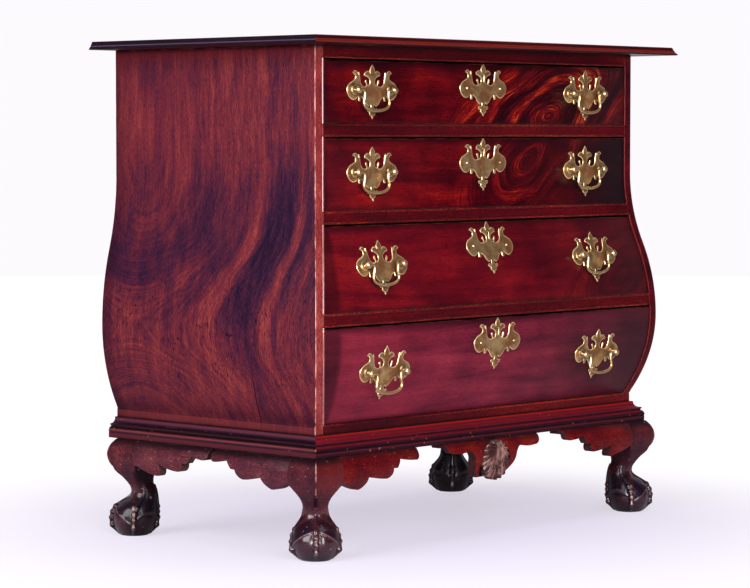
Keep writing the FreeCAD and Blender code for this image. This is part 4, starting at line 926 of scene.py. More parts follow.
# %% Lofting rings
def loft(bm, count, levels, point):
    """Closed shape of rings; point(level, index) gives each place on a ring."""
    index_layer = bm.verts.layers.int.get("ring") or bm.verts.layers.int.new("ring")
    ring = bmesh.ops.create_circle(bm, cap_ends=True, radius=1.0, segments=count)["verts"]
    for index, vert in enumerate(ring):
        vert[index_layer] = index
    faces = list({face for face in ring[0].link_faces if len(face.verts) == count})
    everything = list(ring)
    for number, level in enumerate(levels):
        if number:
            grown = bmesh.ops.extrude_face_region(bm, geom=faces)["geom"]
            faces = [item for item in grown if isinstance(item, bmesh.types.BMFace)]
            ring = [item for item in grown if isinstance(item, bmesh.types.BMVert)]
            everything += ring
        for vert in ring:
            vert.co = Vector(point(level, vert[index_layer]))
    return everything


# %% [markdown]
# A curve through a few chosen points gives both the lines of rods and the sizes between the
# rows of a table. Each stretch of it depends on its own two ends and on one point beyond each.

# %% Curves and rods
def four_about(items, index):
    """The item at a place with the one before and the two after it; the list's ends are repeated."""
    last = len(items) - 1
    return [items[min(max(index + step, 0), last)] for step in (-1, 0, 1, 2)]


def on_curve(before, start, end, after, t):
    """Place at a share t of the way from start to end, on a curve through all four."""
    return 0.5 * (
        2 * start + (end - before) * t
        + (2 * before - 5 * start + 4 * end - after) * t ** 2
        + (3 * start - before - 3 * end + after) * t ** 3
    )


def smooth_path(points, steps):
    """Points of a curve through the given ones."""
    points = [Vector(p) for p in points]
    result = []
    for index in range(len(points) - 1):
        result += [on_curve(*four_about(points, index), step / steps) for step in range(steps)]
    return result + [points[-1]]


def rod(bm, path, radius, segments):
    """Round rod along a path; radius(index) may change on the way."""
    last = len(path) - 1
    tangents = [(path[min(i + 1, last)] - path[max(i - 1, 0)]).normalized() for i in range(last + 1)]
    turn = tangents[0].to_track_quat("Z", "Y")
    frames = []
    for index, tangent in enumerate(tangents):
        if index:
            turn = tangents[index - 1].rotation_difference(tangent) @ turn
        frames.append(turn.copy())

    def point(level, index):
        angle = math.tau * index / segments
        size = radius(level)
        return path[level] + frames[level] @ Vector((size * math.cos(angle), size * math.sin(angle), 0))
    return loft(bm, segments, range(len(path)), point)


def add_bead(bm, path, size, segments, index):
    """Round bead along a path, in its own material slot."""
    for vert in rod(bm, path, lambda level: size, segments):
        for face in vert.link_faces:
            face.material_index = index


def in_bump(value, middle, width):
    """1 at the middle of a soft bump, falling to 0 away from it."""
    return math.exp(-(((value - middle) / width) ** 2))


# %% [markdown]
# ## Carcase
# The two sides, with the round bead that runs down the inner edge of each opening.

# %% Sides
SIDE_BEAD, RAIL_BEAD = 0.0017, 0.0019
STRIP_PROUD = 0.0005


def side_board(sign, name, edge_wood, own_bead_wood):
    """Side with the sawn bulge, its front edge and a bead beside each opening."""
    bm = bmesh.new()
    inner, outer = sorted((sign * (CASE_HALF - THICKNESS), sign * CASE_HALF))
    add_block(bm, (inner, FRONT, BASE), (outer, BACK, CASE_TOP))
    soften(bm, 0.0011, 3)
    slice_up(bm, BASE, CASE_TOP)
    cut(bm, STRIP_TOP)
    cut(bm, STRIP_TOP + 0.0006)
    swell_out(bm, lambda place: (sign, -1 if place.y < 0 else 0, 0))
    for vert in bm.verts:
        if vert.co.z < STRIP_TOP + 0.0001:
            vert.co.x += sign * STRIP_PROUD
    for face in bm.faces:
        on_edge = face.calc_center_median().y < FRONT + 0.0004 and face.normal.y < -0.6
        face.material_index = 1 if on_edge else 0
    bead_x = CASE_HALF - THICKNESS + 0.0016
    for low, high in OPENINGS:
        levels = [low + (high - low) * i / 24 for i in range(25)]
        path = [Vector((sign * (bead_x + swell_at(z)), FRONT - swell_at(z) + 0.0002, z)) for z in levels]
        add_bead(bm, path, SIDE_BEAD, 12, 2)
    bmesh.ops.recalc_face_normals(bm, faces=bm.faces)
    finish_piece(name, bm, "case", "mahogany", side_wood, edge_wood, own_bead_wood)


# The left side's beads are painted with a highlight.
side_board(-1, "side_left", stile_wood, highlight_bead_wood)
side_board(1, "side_right", rail_wood, bead_wood)

# %% [markdown]
# The rails between the drawers. Each has a round bead along the edges that meet a drawer.

# %% Rails
def rail(name, beads):
    """Rail with a bead along its lower edge, its upper edge or both."""
    low, high = levels_of(name)
    half = CASE_HALF - THICKNESS
    bm = bmesh.new()
    add_block(bm, (-half, FRONT, low), (half, face_of(name, "high", "y"), high))
    slice_up(bm, low, high, 0.0015)
    swell_out(bm, lambda place: (math.copysign(1, place.x), -1 if place.y < FRONT + 0.001 else 0, 0))
    for edge in beads:
        level = high - 0.00175 if edge == "upper" else low + 0.00175
        out = swell_at(level)
        reach = half + out
        path = [Vector((-reach + 2 * reach * i / 12, FRONT - out, level)) for i in range(13)]
        add_bead(bm, path, RAIL_BEAD, 14, 1)
    bmesh.ops.recalc_face_normals(bm, faces=bm.faces)
    finish_piece(name, bm, "case", "mahogany", rail_wood, rail_bead_wood)


rail("top_rail", ["lower"])
for number in DRAWERS[:-1]:
    rail(f"divider_{number}", ["upper", "lower"])
rail("bottom_rail", ["upper"])

# %% [markdown]
# The top's edge is a shallow hollow above a thin lip. A moulded slab is a stack of
# rectangles, each set back by its own amount on the three sides that show.

# %% Top
TOP_HALF, TOP_FRONT = face_of("top_board", "high", "x"), face_of("top_board", "low", "y")
# How far the edge is set back and how high above the case, in metres.
TOP_EDGE = [
    (0.0012, 0.0), (0.0003, 0.0004), (0.0, 0.0012), (0.0002, 0.0022), (0.0012, 0.0030),
    (0.0026, 0.0046), (0.0042, 0.0070), (0.0056, 0.0098), (0.0066, 0.0124), (0.0071, 0.0134),
    (0.0080, 0.0140),
]


def top_corner(level, index):
    """Corner of the top at one of the levels of its edge."""
    inset, up = TOP_EDGE[level]
    x = (TOP_HALF - inset) * (1 if index in (0, 3) else -1)
    y = BACK if index in (0, 1) else TOP_FRONT + inset
    return (x, y, CASE_TOP + up)


bm = bmesh.new()
loft(bm, 4, range(len(TOP_EDGE)), top_corner)
bmesh.ops.recalc_face_normals(bm, faces=bm.faces)
for face in bm.faces:
    face.material_index = 1 if abs(face.normal.x) > 0.5 else 0
finish_piece("top_board", bm, "case", "mahogany", top_wood, top_side_wood, sharp=30)

# %% [markdown]
# The base moulding has a fillet, a hollow, a second fillet over a dark quirk, a quarter round
# and a flat band. Each length is its profile drawn from mitre to mitre.

# %% Base moulding
def quarter(centre, radius, start, end, steps=7):
    """Points of an arc as distance out and height."""
    turns = [math.radians(start + (end - start) * i / steps) for i in range(steps + 1)]
    return [(centre[0] + radius * math.cos(a), centre[1] + radius * math.sin(a)) for a in turns]


# Distance out from the case and height above the moulding's foot, in mm.
MOULDING = (
    [(0, 35.0), (4.4, 35.0), (5.0, 34.4), (5.0, 33.4)]
    + quarter((14.2, 33.4), 9.2, 180, 270)[1:]
    + [(15.5, 24.2), (16.0, 23.8), (16.0, 21.6), (15.6, 21.2), (14.4, 21.0), (14.3, 19.6), (15.0, 19.2)]
    + quarter((12.6, 12.4), 6.9, 62, 8)
    + [(19.6, 12.4), (20.0, 12.0), (20.0, 10.9), (19.6, 10.5), (19.0, 9.9), (19.2, 9.3), (19.5, 8.9)]
    + [(19.5, 1.2), (19.1, 0.5), (18.4, 0.0), (0, 0)]
)


def moulding(name, run, material):
    """run(out, end) gives the plan position of a profile point at end 0 or 1."""
    bm = bmesh.new()

    def point(end, index):
        out, up = MOULDING[index]
        return (*run(out / 1000, end), MOULDING_LOW + up / 1000)

    loft(bm, len(MOULDING), (0, 1), point)
    bmesh.ops.recalc_face_normals(bm, faces=bm.faces)
    finish_piece(name, bm, "case", "mahogany", material, sharp=32)


moulding("moulding_front", lambda out, end: ((2 * end - 1) * (CASE_HALF + out), FRONT - out), moulding_wood)
for sign, name in ((-1, "moulding_left"), (1, "moulding_right")):
    moulding(
        name, lambda out, end: (sign * (CASE_HALF + out), BACK if end else FRONT - out), moulding_wood_y
    )

# %% [markdown]
# The aprons keep the shape of their solids. Their arrises are softened, because no edge on
# an old chest is truly sharp and a rounded one catches the light.

# %% Aprons
refined("apron_front", 0.0008, apron_wood, "mahogany", sawn=cut_wood)
for name in ("apron_left", "apron_right"):
    refined(name, 0.0008, apron_wood_y, "mahogany", sawn=cut_wood, facing=0)

# %% [markdown]
# The boards that are seldom seen are of pine, which was cheaper. They keep the shape of their
# solids too, and so do the locks.

# %% Boards that are seldom seen
refined("back_boards", 0.0008, pine_x, "secondary_wood")
refined("bottom_board", 0.0008, pine_x, "secondary_wood")
refined("drawer_runners", 0.0006, pine_y, "secondary_wood")
refined("apron_back", 0.001, pine_x, "secondary_wood")
refined("glue_blocks", 0.001, pine_y, "secondary_wood")
for number in DRAWERS:
    body = f"drawer_{number}"
    refined(f"{body}_sides", 0.0006, pine_y, "secondary_wood", body)
    refined(f"{body}_back", 0.0006, pine_x, "secondary_wood", body)
    refined(f"{body}_bottom", 0.0004, pine_x, "secondary_wood", body)
    refined(f"{body}_lock", 0.0004, iron, "brass", body)

# %% [markdown]
# ## Drawer fronts
# Solid fronts, bent with the case. The fronts run with a hair of room to the beads.

# %% Drawer fronts
PLAY, FRONT_THICKNESS = 0.0012, 0.024


def drawer_front(number):
    name = f"drawer_{number}_front"
    low, high = levels_of(name)
    half = CASE_HALF - THICKNESS - PLAY
    bm = bmesh.new()
    add_block(bm, (-half, FRONT, low), (half, FRONT + FRONT_THICKNESS, high - PLAY))
    soften(bm, 0.0009, 2)
    slice_up(bm, low, high, 0.005)
    for face in bm.faces:
        face.material_index = 0 if face.normal.y < -0.3 else 1
    swell_out(bm, lambda place: (math.copysign(1, place.x), -1, 0))
    finish_piece(name, bm, f"drawer_{number}", "drawer_front_wood", front_woods[number], rail_wood)


for number in DRAWERS:
    drawer_front(number)

# %% [markdown]
# ## Brass plates
# Each plate is a flat casting with a leafy outline and a broad bevel that catches light. The
# outline is half a shape, mirrored and rounded, filled, given its thickness, and
# its front face is inset to make the bevel. Then it is bent to the drawer front.

# %% Outline of a plate
# Right half of a pull's plate from top to bottom, in mm from its middle.
PLATE_HALF = [
    (0, 41.7), (4.4, 36.2), (6.4, 31.2), (5.4, 27.8), (7.5, 29.8), (11.1, 31.2), (16, 29.5),
    (18.9, 26.1), (17.8, 22.7), (14.2, 22.4), (10.5, 20.3), (7.2, 17.6), (6.1, 13.8), (6.9, 9.9),
    (9.5, 7.4), (11.5, 8.3), (13.4, 15.9), (16.2, 15.6), (16.8, 12.5), (14.1, 7.4), (17.2, 5.7),
    (22.4, 6.6), (26.9, 10.9), (28.7, 17.7), (29.7, 24.4), (30.8, 29), (33.9, 28.7), (33.1, 24.4),
    (36.7, 30.3), (41.9, 31.5), (46.8, 27.8), (43.2, 25.8), (40.6, 22.8), (41.1, 17.7),
    (48.3, 13.8), (54.7, 10.5), (59.5, 4.3), (60.3, -2.5), (57.2, -9.2), (50.7, -14.8),
    (44.3, -16.4), (37.9, -14.4), (33.2, -10.7), (32.7, -17.9), (27.5, -17.9), (26.8, -12),
    (24.2, -13.2), (19.8, -16.3), (16.6, -21.4), (11.9, -25.5), (8, -26.9), (4.1, -24.1),
    (4.2, -28.6), (6.6, -30.6), (10.2, -29.6), (12.8, -32.0), (10.6, -35.4), (6.8, -35.8),
    (7.4, -38.6), (5.4, -41.6), (2.4, -42.8), (1.8, -45.4), (0, -47.4),
]
KEYHOLE = [
    (-1.1, 12.0), (1.1, 12.0), (1.2, 19.0), (2.0, 20.2), (2.0, 22.0), (1.2, 23.4), (-1.2, 23.4),
    (-2.0, 22.0), (-2.0, 20.2), (-1.2, 19.0),
]
PLATE_THICKNESS = 0.0008
# Width and rise of each step of the bevel.
BEVEL_STEPS = ((0.0004, 0.0005), (0.0006, 0.0003), (0.0006, 0.0))
POST_X = 0.043


def plate_heights(number):
    """Height of the lobes of the pulls and of the keyhole plate."""
    low, high = levels_of(f"drawer_{number}_front")
    return (low + high) / 2 + 0.003, high - 0.0425


def outline_faces(bm, loops):
    """Flat face bounded by closed loops of (x, z) points."""
    edges = []
    for loop in loops:
        verts = [bm.verts.new((x, 0.0, z)) for x, z in loop]
        edges += [bm.edges.new(pair) for pair in zip(verts, verts[1:] + verts[:1])]
    made = bmesh.ops.triangle_fill(bm, use_beauty=True, use_dissolve=False, edges=edges)
    return [item for item in made["geom"] if isinstance(item, bmesh.types.BMFace)]


# %% Plates
def plate(bm, x, height, keyed):
    """One bevelled plate on a drawer front, with or without a keyhole."""
    part = bmesh.new()
    mark = part.faces.layers.float.new("arris")
    half = smooth_path([(px, 0, pz) for px, pz in PLATE_HALF], 3)
    right = [(p.x / 1000, p.z / 1000) for p in half]
    loops = [right + [(-px, pz) for px, pz in reversed(right[1:-1])]]
    if keyed:
        loops.append([(px / 1000, pz / 1000) for px, pz in KEYHOLE])
    faces = outline_faces(part, loops)
    bmesh.ops.recalc_face_normals(part, faces=faces)
    grown = bmesh.ops.extrude_face_region(part, geom=faces)["geom"]
    verts = [item for item in grown if isinstance(item, bmesh.types.BMVert)]
    front_faces = [item for item in grown if isinstance(item, bmesh.types.BMFace)]
    bmesh.ops.translate(part, vec=(0, -PLATE_THICKNESS, 0), verts=verts)
    bmesh.ops.recalc_face_normals(part, faces=part.faces)
    for width, rise in BEVEL_STEPS:
        made = bmesh.ops.inset_region(
            part, faces=front_faces, thickness=width, depth=0.0, use_even_offset=False,
            use_boundary=True,
        )
        for face in made["faces"]:
            face[mark] = 1.0
        inner = {vert for face in front_faces for vert in face.verts}
        bmesh.ops.translate(part, vec=(0, -rise, 0), verts=list(inner))
    slice_up(part, -0.047, 0.041, 0.006)
    for vert in part.verts:
        z = vert.co.z + height
        vert.co = Vector((vert.co.x + x, FRONT - swell_at(z) + vert.co.y, z))
    store = bpy.data.meshes.new("plate_store")
    part.to_mesh(store)
    part.free()
    bm.from_mesh(store)
    bpy.data.meshes.remove(store)


for number in DRAWERS:
    pull_z, key_z = plate_heights(number)
    bm = bmesh.new()
    plate(bm, -PULL_X, pull_z, keyed=False)
    plate(bm, PULL_X, pull_z, keyed=False)
    plate(bm, 0.0, key_z, keyed=True)
    finish_piece(f"drawer_{number}_plates", bm, f"drawer_{number}", "brass", plate_brass, sharp=20)

# %% [markdown]
# ## Posts and handles
# A post is turned: a flat collar on the plate, a thin neck and a cup-shaped head. Spinning a
# profile round its axis is what a lathe does. The swan-necked handle hangs between two heads.

# %% Posts
def turned_shape(bm, profile, place, segments=28):
    """Spin a profile of (radius, out) pairs about its axis and set it on a front."""
    verts = [bm.verts.new((radius, 0, out)) for radius, out in profile]
    edges = [bm.edges.new(pair) for pair in zip(verts, verts[1:])]
    bmesh.ops.spin(
        bm, geom=verts + edges, cent=(0, 0, 0), axis=(0, 0, 1), dvec=(0, 0, 0),
        angle=math.tau, steps=segments, use_merge=True, use_duplicate=False,
    )
    # The spun shape is all that hangs together with the profile: other shapes share the mesh.
    whole = set(verts)
    for vert in verts:
        stack = [vert]
        while stack:
            for edge in stack.pop().link_edges:
                for other in edge.verts:
                    if other not in whole:
                        whole.add(other)
                        stack.append(other)
    bmesh.ops.remove_doubles(bm, verts=list(whole), dist=1e-6)
    whole = [vert for vert in whole if vert.is_valid]
    bmesh.ops.transform(bm, matrix=place, verts=whole)


def on_front(x, height):
    """Placement on a drawer front: local Z points out, square to the front."""
    step = 0.00001
    slope = (swell_at(height + step) - swell_at(height - step)) / (2 * step)
    turn = Matrix.Rotation(math.radians(90) - math.atan(-slope), 4, "X")
    return Matrix.Translation((x, FRONT - swell_at(height), height)) @ turn


# Radius and distance out from the front in metres, from the inner end to the head.
POST = [
    (0, -0.0285), (0.0024, -0.0285), (0.0026, -0.028), (0.0026, 0.0012), (0.0080, 0.0013),
    (0.0086, 0.0018), (0.0086, 0.0026), (0.0078, 0.0032), (0.0058, 0.0038), (0.0036, 0.0046),
    (0.0029, 0.0058), (0.0030, 0.0064), (0.0042, 0.0074), (0.0054, 0.0086), (0.0060, 0.0102),
    (0.0061, 0.0118), (0.0058, 0.0132), (0.0050, 0.0146), (0.0036, 0.0156), (0.0018, 0.0161),
    (0, 0.0162),
]
NUT = [
    (0.0027, -0.0243), (0.0056, -0.0243), (0.0060, -0.0247), (0.0060, -0.0266), (0.0056, -0.0271),
    (0.0027, -0.0271), (0.0027, -0.0243),
]
PIN = [
    (0, -0.0120), (0.0011, -0.0118), (0.0011, 0.0014), (0.0024, 0.0015), (0.0026, 0.0019),
    (0.0021, 0.0030), (0.0011, 0.0037), (0, 0.0039),
]
for number in DRAWERS:
    pull_z, key_z = plate_heights(number)
    bm = bmesh.new()
    for x in (-PULL_X, PULL_X):
        for hand in (-1, 1):
            place = on_front(x + hand * POST_X, pull_z)
            turned_shape(bm, POST, place)
            turned_shape(bm, NUT, place, 24)
    for hand in (-1, 1):
        turned_shape(bm, PIN, on_front(hand * POST_X, key_z), 20)
    bmesh.ops.recalc_face_normals(bm, faces=bm.faces)
    finish_piece(f"drawer_{number}_posts", bm, f"drawer_{number}", "brass", bail_brass)

# %% Handles
# Right half of a bail in metres from its axis, from the pin to the middle of the grip.
BAIL_HALF = [
    (0.0410, 0), (0.0370, 0), (0.0330, 0), (0.0303, -0.0008), (0.0286, -0.0030), (0.0281, -0.0065),
    (0.0284, -0.0115), (0.0294, -0.0160), (0.0302, -0.0200), (0.0296, -0.0238), (0.0272, -0.0272),
    (0.0232, -0.0298), (0.0172, -0.0318), (0.0090, -0.0332), (0.0, -0.0336),
]
PIN_RADIUS, BAIL_RADIUS, GRIP_BULGE = 0.0016, 0.0024, 0.0004
PIN_START, GRIP_LEVEL = 0.0372, -0.028
AXIS_OUT = 0.011


def handle(number, x, hand):
    """Bail that hangs between its two posts."""
    pivot = on_front(x, plate_heights(number)[0]) @ Vector((0, 0, AXIS_OUT))
    right = smooth_path([(px, 0, pz) for px, pz in BAIL_HALF], 4)
    line = right + [Vector((-p.x, 0, p.z)) for p in reversed(right[:-1])]

    def radius(index):
        p = line[index]
        if abs(p.x) > PIN_START:
            return PIN_RADIUS
        return BAIL_RADIUS + (GRIP_BULGE * in_bump(p.x, 0.0, 0.014) if p.z < GRIP_LEVEL else 0.0)

    bm = bmesh.new()
    rod(bm, [pivot + p for p in line], radius, 16)
    bmesh.ops.recalc_face_normals(bm, faces=bm.faces)
    finish_piece(f"drawer_{number}_bail_{hand}", bm, f"bail_{number}_{hand}", "brass", bail_brass, sharp=60)


for number in DRAWERS:
    handle(number, -PULL_X, "left")
    handle(number, PULL_X, "right")

# %% [markdown]
# ## Carved legs
# The knee is square, the ankle round and the foot a claw that grips a ball. The carving is
# put together from simple closed shapes: a column for knee and ankle, a ball, four claws
# and a web of skin over the ball. A voxel remesh then melts them into one skin, the
# way the carver leaves them in one block of wood.

# %% Knee and ankle
KNEE_TOP, LEG_BLOCK, BLOCK_LOW = UNDERSIDE, 0.032, 0.118
# The knee's front is an arc that stands out by its depth at its middle.
KNEE_DEPTH, KNEE_RADIUS, KNEE_MIDDLE = 0.033, 0.036, 0.138
ARC = 9
# Height, reach outwards, reach inwards and radii of the outer, side and inner corners, in mm.
CALF = [
    (122.5, 29.5, 32.0, 0.6, 0.5, 0.6), (118, 26.9, 31.6, 0.8, 1.6, 2.0),
    (113, 25.0, 30.2, 1.0, 5.0, 6.0), (108, 22.6, 28.6, 1.8, 9.0, 9.0),
    (99, 16.4, 27.2, 4.0, 12.0, 12.0), (90, 11.6, 27.0, 9.0, 13.5, 13.0),
    (81, 8.4, 29.6, 14.0, 15.5, 15.0), (72, 7.4, 31.6, 17.0, 17.0, 17.0),
    (66, 9.0, 33.0, 19.0, 19.0, 19.0), (60, 12.0, 33.0, 21.0, 21.0, 21.0),
]


def apron_swell(height):
    """How far the knee stands out from the case at a height."""
    rise = max(0.0, KNEE_RADIUS ** 2 - (height - KNEE_MIDDLE) ** 2)
    return KNEE_DEPTH - KNEE_RADIUS + math.sqrt(rise)


def between(table, height):
    """Row of a table at a height, smoothly between its rows."""
    last = len(table) - 1
    if height >= table[0][0]:
        return list(table[0][1:])
    for index in range(last):
        if height >= table[index + 1][0]:
            rows = four_about(table, index)
            t = (rows[1][0] - height) / (rows[1][0] - rows[2][0])
            return [on_curve(*four, t) for four in zip(*[row[1:] for row in rows])]
    return list(table[last][1:])


def knee_point(height, index):
    """Place on the leg's square or round section at a height."""
    if height >= KNEE_TOP:
        outer, inner, radii = 0.0, LEG_BLOCK, (0.0004, 0.0004, 0.0004)
    elif height >= BLOCK_LOW:
        outer, inner, radii = apron_swell(height), LEG_BLOCK, (0.0006, 0.0004, 0.0006)
    else:
        row = [number / 1000 for number in between(CALF, height * 1000)]
        outer, inner, radii = row[0], row[1], row[2:]
    corner, step = divmod(index, ARC)
    x_sign, y_sign, radius = [
        (1, 1, radii[0]), (-1, 1, radii[1]), (-1, -1, radii[2]), (1, -1, radii[1])
    ][corner]
    angle = math.radians(90 * (corner + step / (ARC - 1)))
    x = (outer if x_sign > 0 else -inner) - x_sign * radius + radius * math.cos(angle)
    y = (outer if y_sign > 0 else -inner) - y_sign * radius + radius * math.sin(angle)
    return (x, y, height)


# %% Claws
BALL, BALL_HEIGHT = 0.0365, 0.0275
KNUCKLES = (0.0480, 0.0390, 0.0295, 0.0170)
# Lines of the claws in mm: (out from the ball's axis, shift towards the knee, height).
FRONT_CLAW = [
    (6.2, 0, 84), (3.9, 0, 78), (3.2, 0, 72), (6.2, 0, 67), (12.2, 0, 62), (19.8, 0, 57),
    (27.0, 0, 52), (33.6, 0, 45.5), (37.2, 0, 38), (38.7, 0, 30), (38.9, 0, 22), (37.0, 0, 16),
    (33.6, 0, 11), (29.4, 0, 6), (25.4, 0, 1.2),
]
SIDE_CLAW = [
    (19.2, -17.0, 81), (19.6, -17.2, 74), (20.8, -16.4, 68), (23.8, -13.6, 62), (27.8, -10.2, 56),
    (31.6, -6.6, 50), (34.8, -3.6, 43), (37.2, -1.4, 35), (38.4, -0.3, 27), (38.6, 0, 20),
    (36.6, 0, 14), (32.6, 0, 9), (28.4, 0, 4.5), (25.2, 0, 1.2),
]
BACK_CLAW = [
    (34.0, 0, 86), (36.8, 0, 78), (38.0, 0, 70), (38.6, 0, 60), (38.8, 0, 50), (38.8, 0, 38),
    (39.0, 0, 27), (37.6, 0, 18), (34.4, 0, 12), (30.4, 0, 7), (25.6, 0, 1.2),
]
# Each claw's line and its turn from the knee's diagonal.
CLAWS = ((FRONT_CLAW, 0), (SIDE_CLAW, 90), (SIDE_CLAW, -90), (BACK_CLAW, 180))
CLAW_RADIUS = 0.0036


def claw_radius(height):
    """Thin above, knuckled over the ball and pointed at the nail."""
    if height > 0.055:
        return CLAW_RADIUS - 0.0016 * min(1.0, (height - 0.055) / 0.024)
    if height < 0.0125:
        return 0.0012 + 0.0020 * (height / 0.0125)
    return CLAW_RADIUS + 0.0021 * sum(in_bump(height, knuckle, 0.0028) for knuckle in KNUCKLES)


def add_claw(bm, line, turn):
    line = smooth_path(line, 5)
    spin = Matrix.Rotation(math.radians(45 + turn), 3, "Z")
    knee = Matrix.Rotation(math.radians(45), 3, "Z")
    path = [(spin @ Vector((p.x, 0, p.z)) + knee @ Vector((p.y, 0, 0))) / 1000 for p in line]
    rod(bm, path, lambda index: claw_radius(path[index].z), 18)


# %% Web over the ball
# Height, middle (towards the knee) and radius of the web in mm.
WEB = [
    (72, -17.3, 20.6), (66, -16.0, 22.4), (62, -13.6, 24.9), (58, -10.2, 28.2), (54, -7.0, 31.5),
    (50, -4.4, 34.4), (45, -2.4, 36.5), (40, -1.2, 37.9), (34, -0.4, 38.8), (28, -0.1, 38.9),
    (18, 0, 37.6),
]
WEB_TOP, WEB_LOW, WEB_POINTS = 0.072, 0.0205, 72


def web_edge(angle):
    """Height of the web's scalloped lower edge."""
    from_front = abs((angle + math.pi) % math.tau - math.pi) / (math.pi / 2)
    if from_front <= 1.0:
        return max(WEB_LOW, 0.0490 - 0.036 * from_front ** 1.6)
    return WEB_LOW + 0.0200 * math.sin(math.pi * (from_front - 1.0)) ** 0.8


def web_point(level, index):
    """Place on the web; its level runs from 0 at the ankle to 1 at the edge and rolls inwards."""
    angle = math.tau * index / WEB_POINTS
    fall = min(level, 1.0)
    height = WEB_TOP + (web_edge(angle) - WEB_TOP) * fall
    middle, radius = (number / 1000 for number in between(WEB, height * 1000))
    ridge = abs(((angle / (math.pi / 2)) % 1.0) - 0.5) * 2
    radius *= 1 - 0.035 * (1 - ridge ** 2) * math.sin(math.pi * min(1, fall * 0.8))
    radius += 0.0009 * in_bump(level, 0.965, 0.03)
    if level > 1.0:
        radius -= 0.045 * (level - 1.0)
    spin = math.radians(45) + angle
    shift = middle * math.sqrt(0.5)
    return (shift + radius * math.cos(spin), shift + radius * math.sin(spin), height)


# %% One carved leg
VOXEL = 0.00085


def leg_master():
    """One leg with its knee towards +X +Y and the ball on the Z axis."""
    bm = bmesh.new()
    levels = [BASE, KNEE_TOP + 0.0001] + [KNEE_TOP - 0.0001 - 0.0469 * i / 16 for i in range(17)]
    levels += [BLOCK_LOW - 0.0025 * i for i in range(1, 24)]
    loft(bm, 4 * ARC, levels, knee_point)
    ball = bmesh.ops.create_uvsphere(bm, u_segments=64, v_segments=40, radius=BALL)["verts"]
    bmesh.ops.translate(bm, vec=(0, 0, BALL_HEIGHT), verts=ball)
    for vert in ball:
        vert.co.z = max(vert.co.z, 0.0)
    levels = [i / 14 for i in range(13)] + [0.92, 0.95, 0.97, 0.99, 1.0, 1.03, 1.1]
    loft(bm, WEB_POINTS, levels, web_point)
    for line, turn in CLAWS:
        add_claw(bm, line, turn)
    bmesh.ops.recalc_face_normals(bm, faces=bm.faces)
    mesh = bpy.data.meshes.new("leg_parts")
    bm.to_mesh(mesh)
    bm.free()
    carving = bpy.data.objects.new("leg_carving", mesh)
    scene.collection.objects.link(carving)
    melt = carving.modifiers.new("melt", "REMESH")
    melt.mode = "VOXEL"
    melt.voxel_size = VOXEL
    ease = carving.modifiers.new("ease", "SMOOTH")
    ease.factor = 0.5
    ease.iterations = 2
    depsgraph = bpy.context.evaluated_depsgraph_get()
    done = bpy.data.meshes.new_from_object(carving.evaluated_get(depsgraph))
    bpy.data.objects.remove(carving)
    print("one leg", len(done.polygons), "faces")
    return done


leg_mesh = leg_master()

# %% [markdown]
# The carver ends with the gouge: one hollow over the ankle, and flat faces where the block
# meets the case. Then each face gets its numbers: the wear mark for painted highlights, web for
# painted shade, rim for a painted highlight and fore for painted light.

# %% Gouge marks
diagonal = Vector((1, 1, 0)).normalized()
beside = Vector((-1, 1, 0)).normalized()


def gouge(off, height):
    """How deep the gouge went over the ankle, as a share."""
    return in_bump(off, 0.0, 0.0024) * in_bump(height, 0.0935, 0.0095)


bm = bmesh.new()
bm.from_mesh(leg_mesh)
for vert in bm.verts:
    out, off, z = vert.co.dot(diagonal), vert.co.dot(beside), vert.co.z
    if out > 0 and 0.07 < z < 0.125:
        vert.co -= diagonal * 0.0032 * gouge(off, z)
    if BLOCK_LOW < z:
        reach = apron_swell(z) if z < KNEE_TOP else 0.0
        for axis in (0, 1):
            if vert.co[axis] > reach - 0.0013:
                vert.co[axis] = reach
            if vert.co[axis] < 0.0013 - LEG_BLOCK:
                vert.co[axis] = -LEG_BLOCK
    vert.co.z = max(vert.co.z, 0.0)
arris, web, rim, fore = (bm.faces.layers.float.new(label) for label in ("arris", "web", "rim", "fore"))
for face in bm.faces:
    place = face.calc_center_median()
    out, off, z = place.dot(diagonal), place.dot(beside), place.z
    from_ball = (place - Vector((0, 0, BALL_HEIGHT))).length - BALL
    from_claw = min(abs(out), abs(off))
    # The knee's arris and the claws' knuckles get the wear mark, which paints highlights there.
    on_arris = out > 0 and abs(off) < 0.0009 and 0.108 < z < KNEE_TOP - 0.004
    on_claw = from_ball > 0.0035 and from_claw < 0.0022 and z < 0.052
    knuckle = max(in_bump(z, height, 0.0032) for height in KNUCKLES)
    face[arris] = 1.0 if on_arris else knuckle if on_claw else 0.0
    edge = web_edge(math.atan2(off, out))
    skin = from_claw > 0.0045 and edge - 0.001 < z < 0.070
    on_rim = skin and from_ball > 0.0005 and abs(z - edge - 0.0012) < 0.0009
    gouged = out > 0 and gouge(off, z) > 0.35
    face[rim] = 1.0 if on_rim else 0.0
    face[web] = 1.0 if gouged or (skin and not on_rim and z > edge) else 0.0
    facing = max(0.0, face.normal.y - abs(face.normal.x))
    face[fore] = facing * min(1.0, max(0.0, (z - 0.095) / 0.03))
bm.to_mesh(leg_mesh)
bm.free()
print("gouged leg", [round(v, 4) for v in leg_mesh.vertices[0].co])

# %% [markdown]
# The other three legs are mirror images of the first. A mirrored mesh is turned inside out,
# so its faces are turned back.

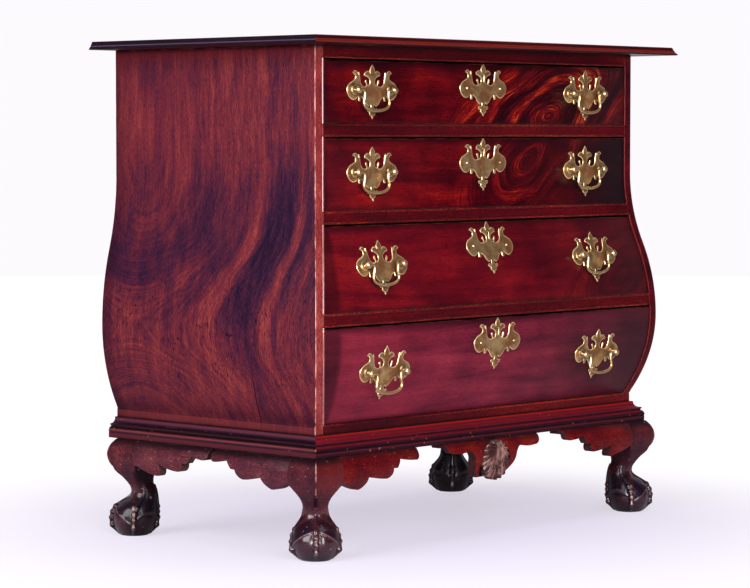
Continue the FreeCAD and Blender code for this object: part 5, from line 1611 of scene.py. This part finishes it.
# %% Four legs
REAR_LEG_Y = 0.224
for name, x, y in (
    ("leg_front_left", -CASE_HALF, FRONT), ("leg_front_right", CASE_HALF, FRONT),
    ("leg_rear_left", -CASE_HALF, REAR_LEG_Y), ("leg_rear_right", CASE_HALF, REAR_LEG_Y),
):
    bm = bmesh.new()
    bm.from_mesh(leg_mesh)
    x_sign, y_sign = math.copysign(1, x), math.copysign(1, y)
    bmesh.ops.scale(bm, vec=(x_sign, y_sign, 1), verts=bm.verts)
    if x_sign * y_sign < 0:
        bmesh.ops.reverse_faces(bm, faces=bm.faces)
    # Faces of the rear legs that look forwards and faces that look in under the chest get painted shade.
    in_shade = bm.faces.layers.float.new("in_shade")
    for face in bm.faces:
        ahead, inward = max(0.0, -face.normal.y), max(0.0, -face.normal.x * x_sign)
        face[in_shade] = min(0.85, 1.3 * max(ahead, 0.9 * inward)) if y > 0 else 0.55 * inward
    bmesh.ops.translate(bm, vec=(x, y, 0), verts=bm.verts)
    finish_piece(name, bm, "case", "mahogany", leg_wood, sharp=75)

# %% [markdown]
# ## Shell
# A scallop shell hangs in the middle of the front apron. Its ribs fan from a hinge near the
# top, so it is a fan of rings: each ring is a larger copy of the rim, and the ribs
# grow towards the edge.

# %% Shell
RIBS, SHELL_POINTS = 15, 240
SHELL_LOW, SHELL_HIGH, SHELL_HALF = 0.095, 0.1645, 0.0355
HINGE = 0.150
SHELL_BACK = -0.2290


def rib_wave(angle):
    """1 on the crest of a rib and 0 between ribs."""
    turn = angle if angle < math.pi else angle - math.tau
    return (0.5 + 0.5 * math.cos(RIBS * 1.18 * turn)) ** 0.7


def shell_point(level, index):
    """Place on the shell; its level runs from 0 at the hinge to 1 at the rim and turns back."""
    angle = math.tau * index / SHELL_POINTS
    rim_x = SHELL_HALF * math.sin(angle)
    rim_z = (SHELL_LOW + SHELL_HIGH) / 2 - (SHELL_HIGH - SHELL_LOW) / 2 * math.cos(angle)
    spread = min(level, 1.0)
    wave = rib_wave(angle)
    size = spread * (1 - 0.035 * (1 - wave) * spread ** 3)
    dome = 0.0125 * math.sqrt(max(0.0, 1 - (0.93 * spread) ** 2.2)) + 0.0030
    ribs = 0.0030 * wave * spread ** 0.6 * (1 - 0.25 * spread)
    turned_back = max(0.0, level - 1.0)
    x = rim_x * size * (1 - 0.2 * turned_back)
    return (x, SHELL_BACK - dome - ribs + 0.12 * turned_back, HINGE + (rim_z - HINGE) * size)


bm = bmesh.new()
levels = [1.1, 1.03] + [1.0 - 0.05 * i for i in range(19)] + [0.05, 0.02]
loft(bm, SHELL_POINTS, levels, shell_point)
bmesh.ops.recalc_face_normals(bm, faces=bm.faces)
ring_number = bm.verts.layers.int["ring"]
# Rib crests carry the wear mark, which paints a highlight along each crest.
arris = bm.faces.layers.float.new("arris")
for face in bm.faces:
    crest = rib_wave(math.tau * min(vert[ring_number] for vert in face.verts) / SHELL_POINTS)
    face[arris] = max(0.0, crest - 0.82) * 5.5
finish_piece("shell_pendant", bm, "case", "mahogany", shell_wood, sharp=60)
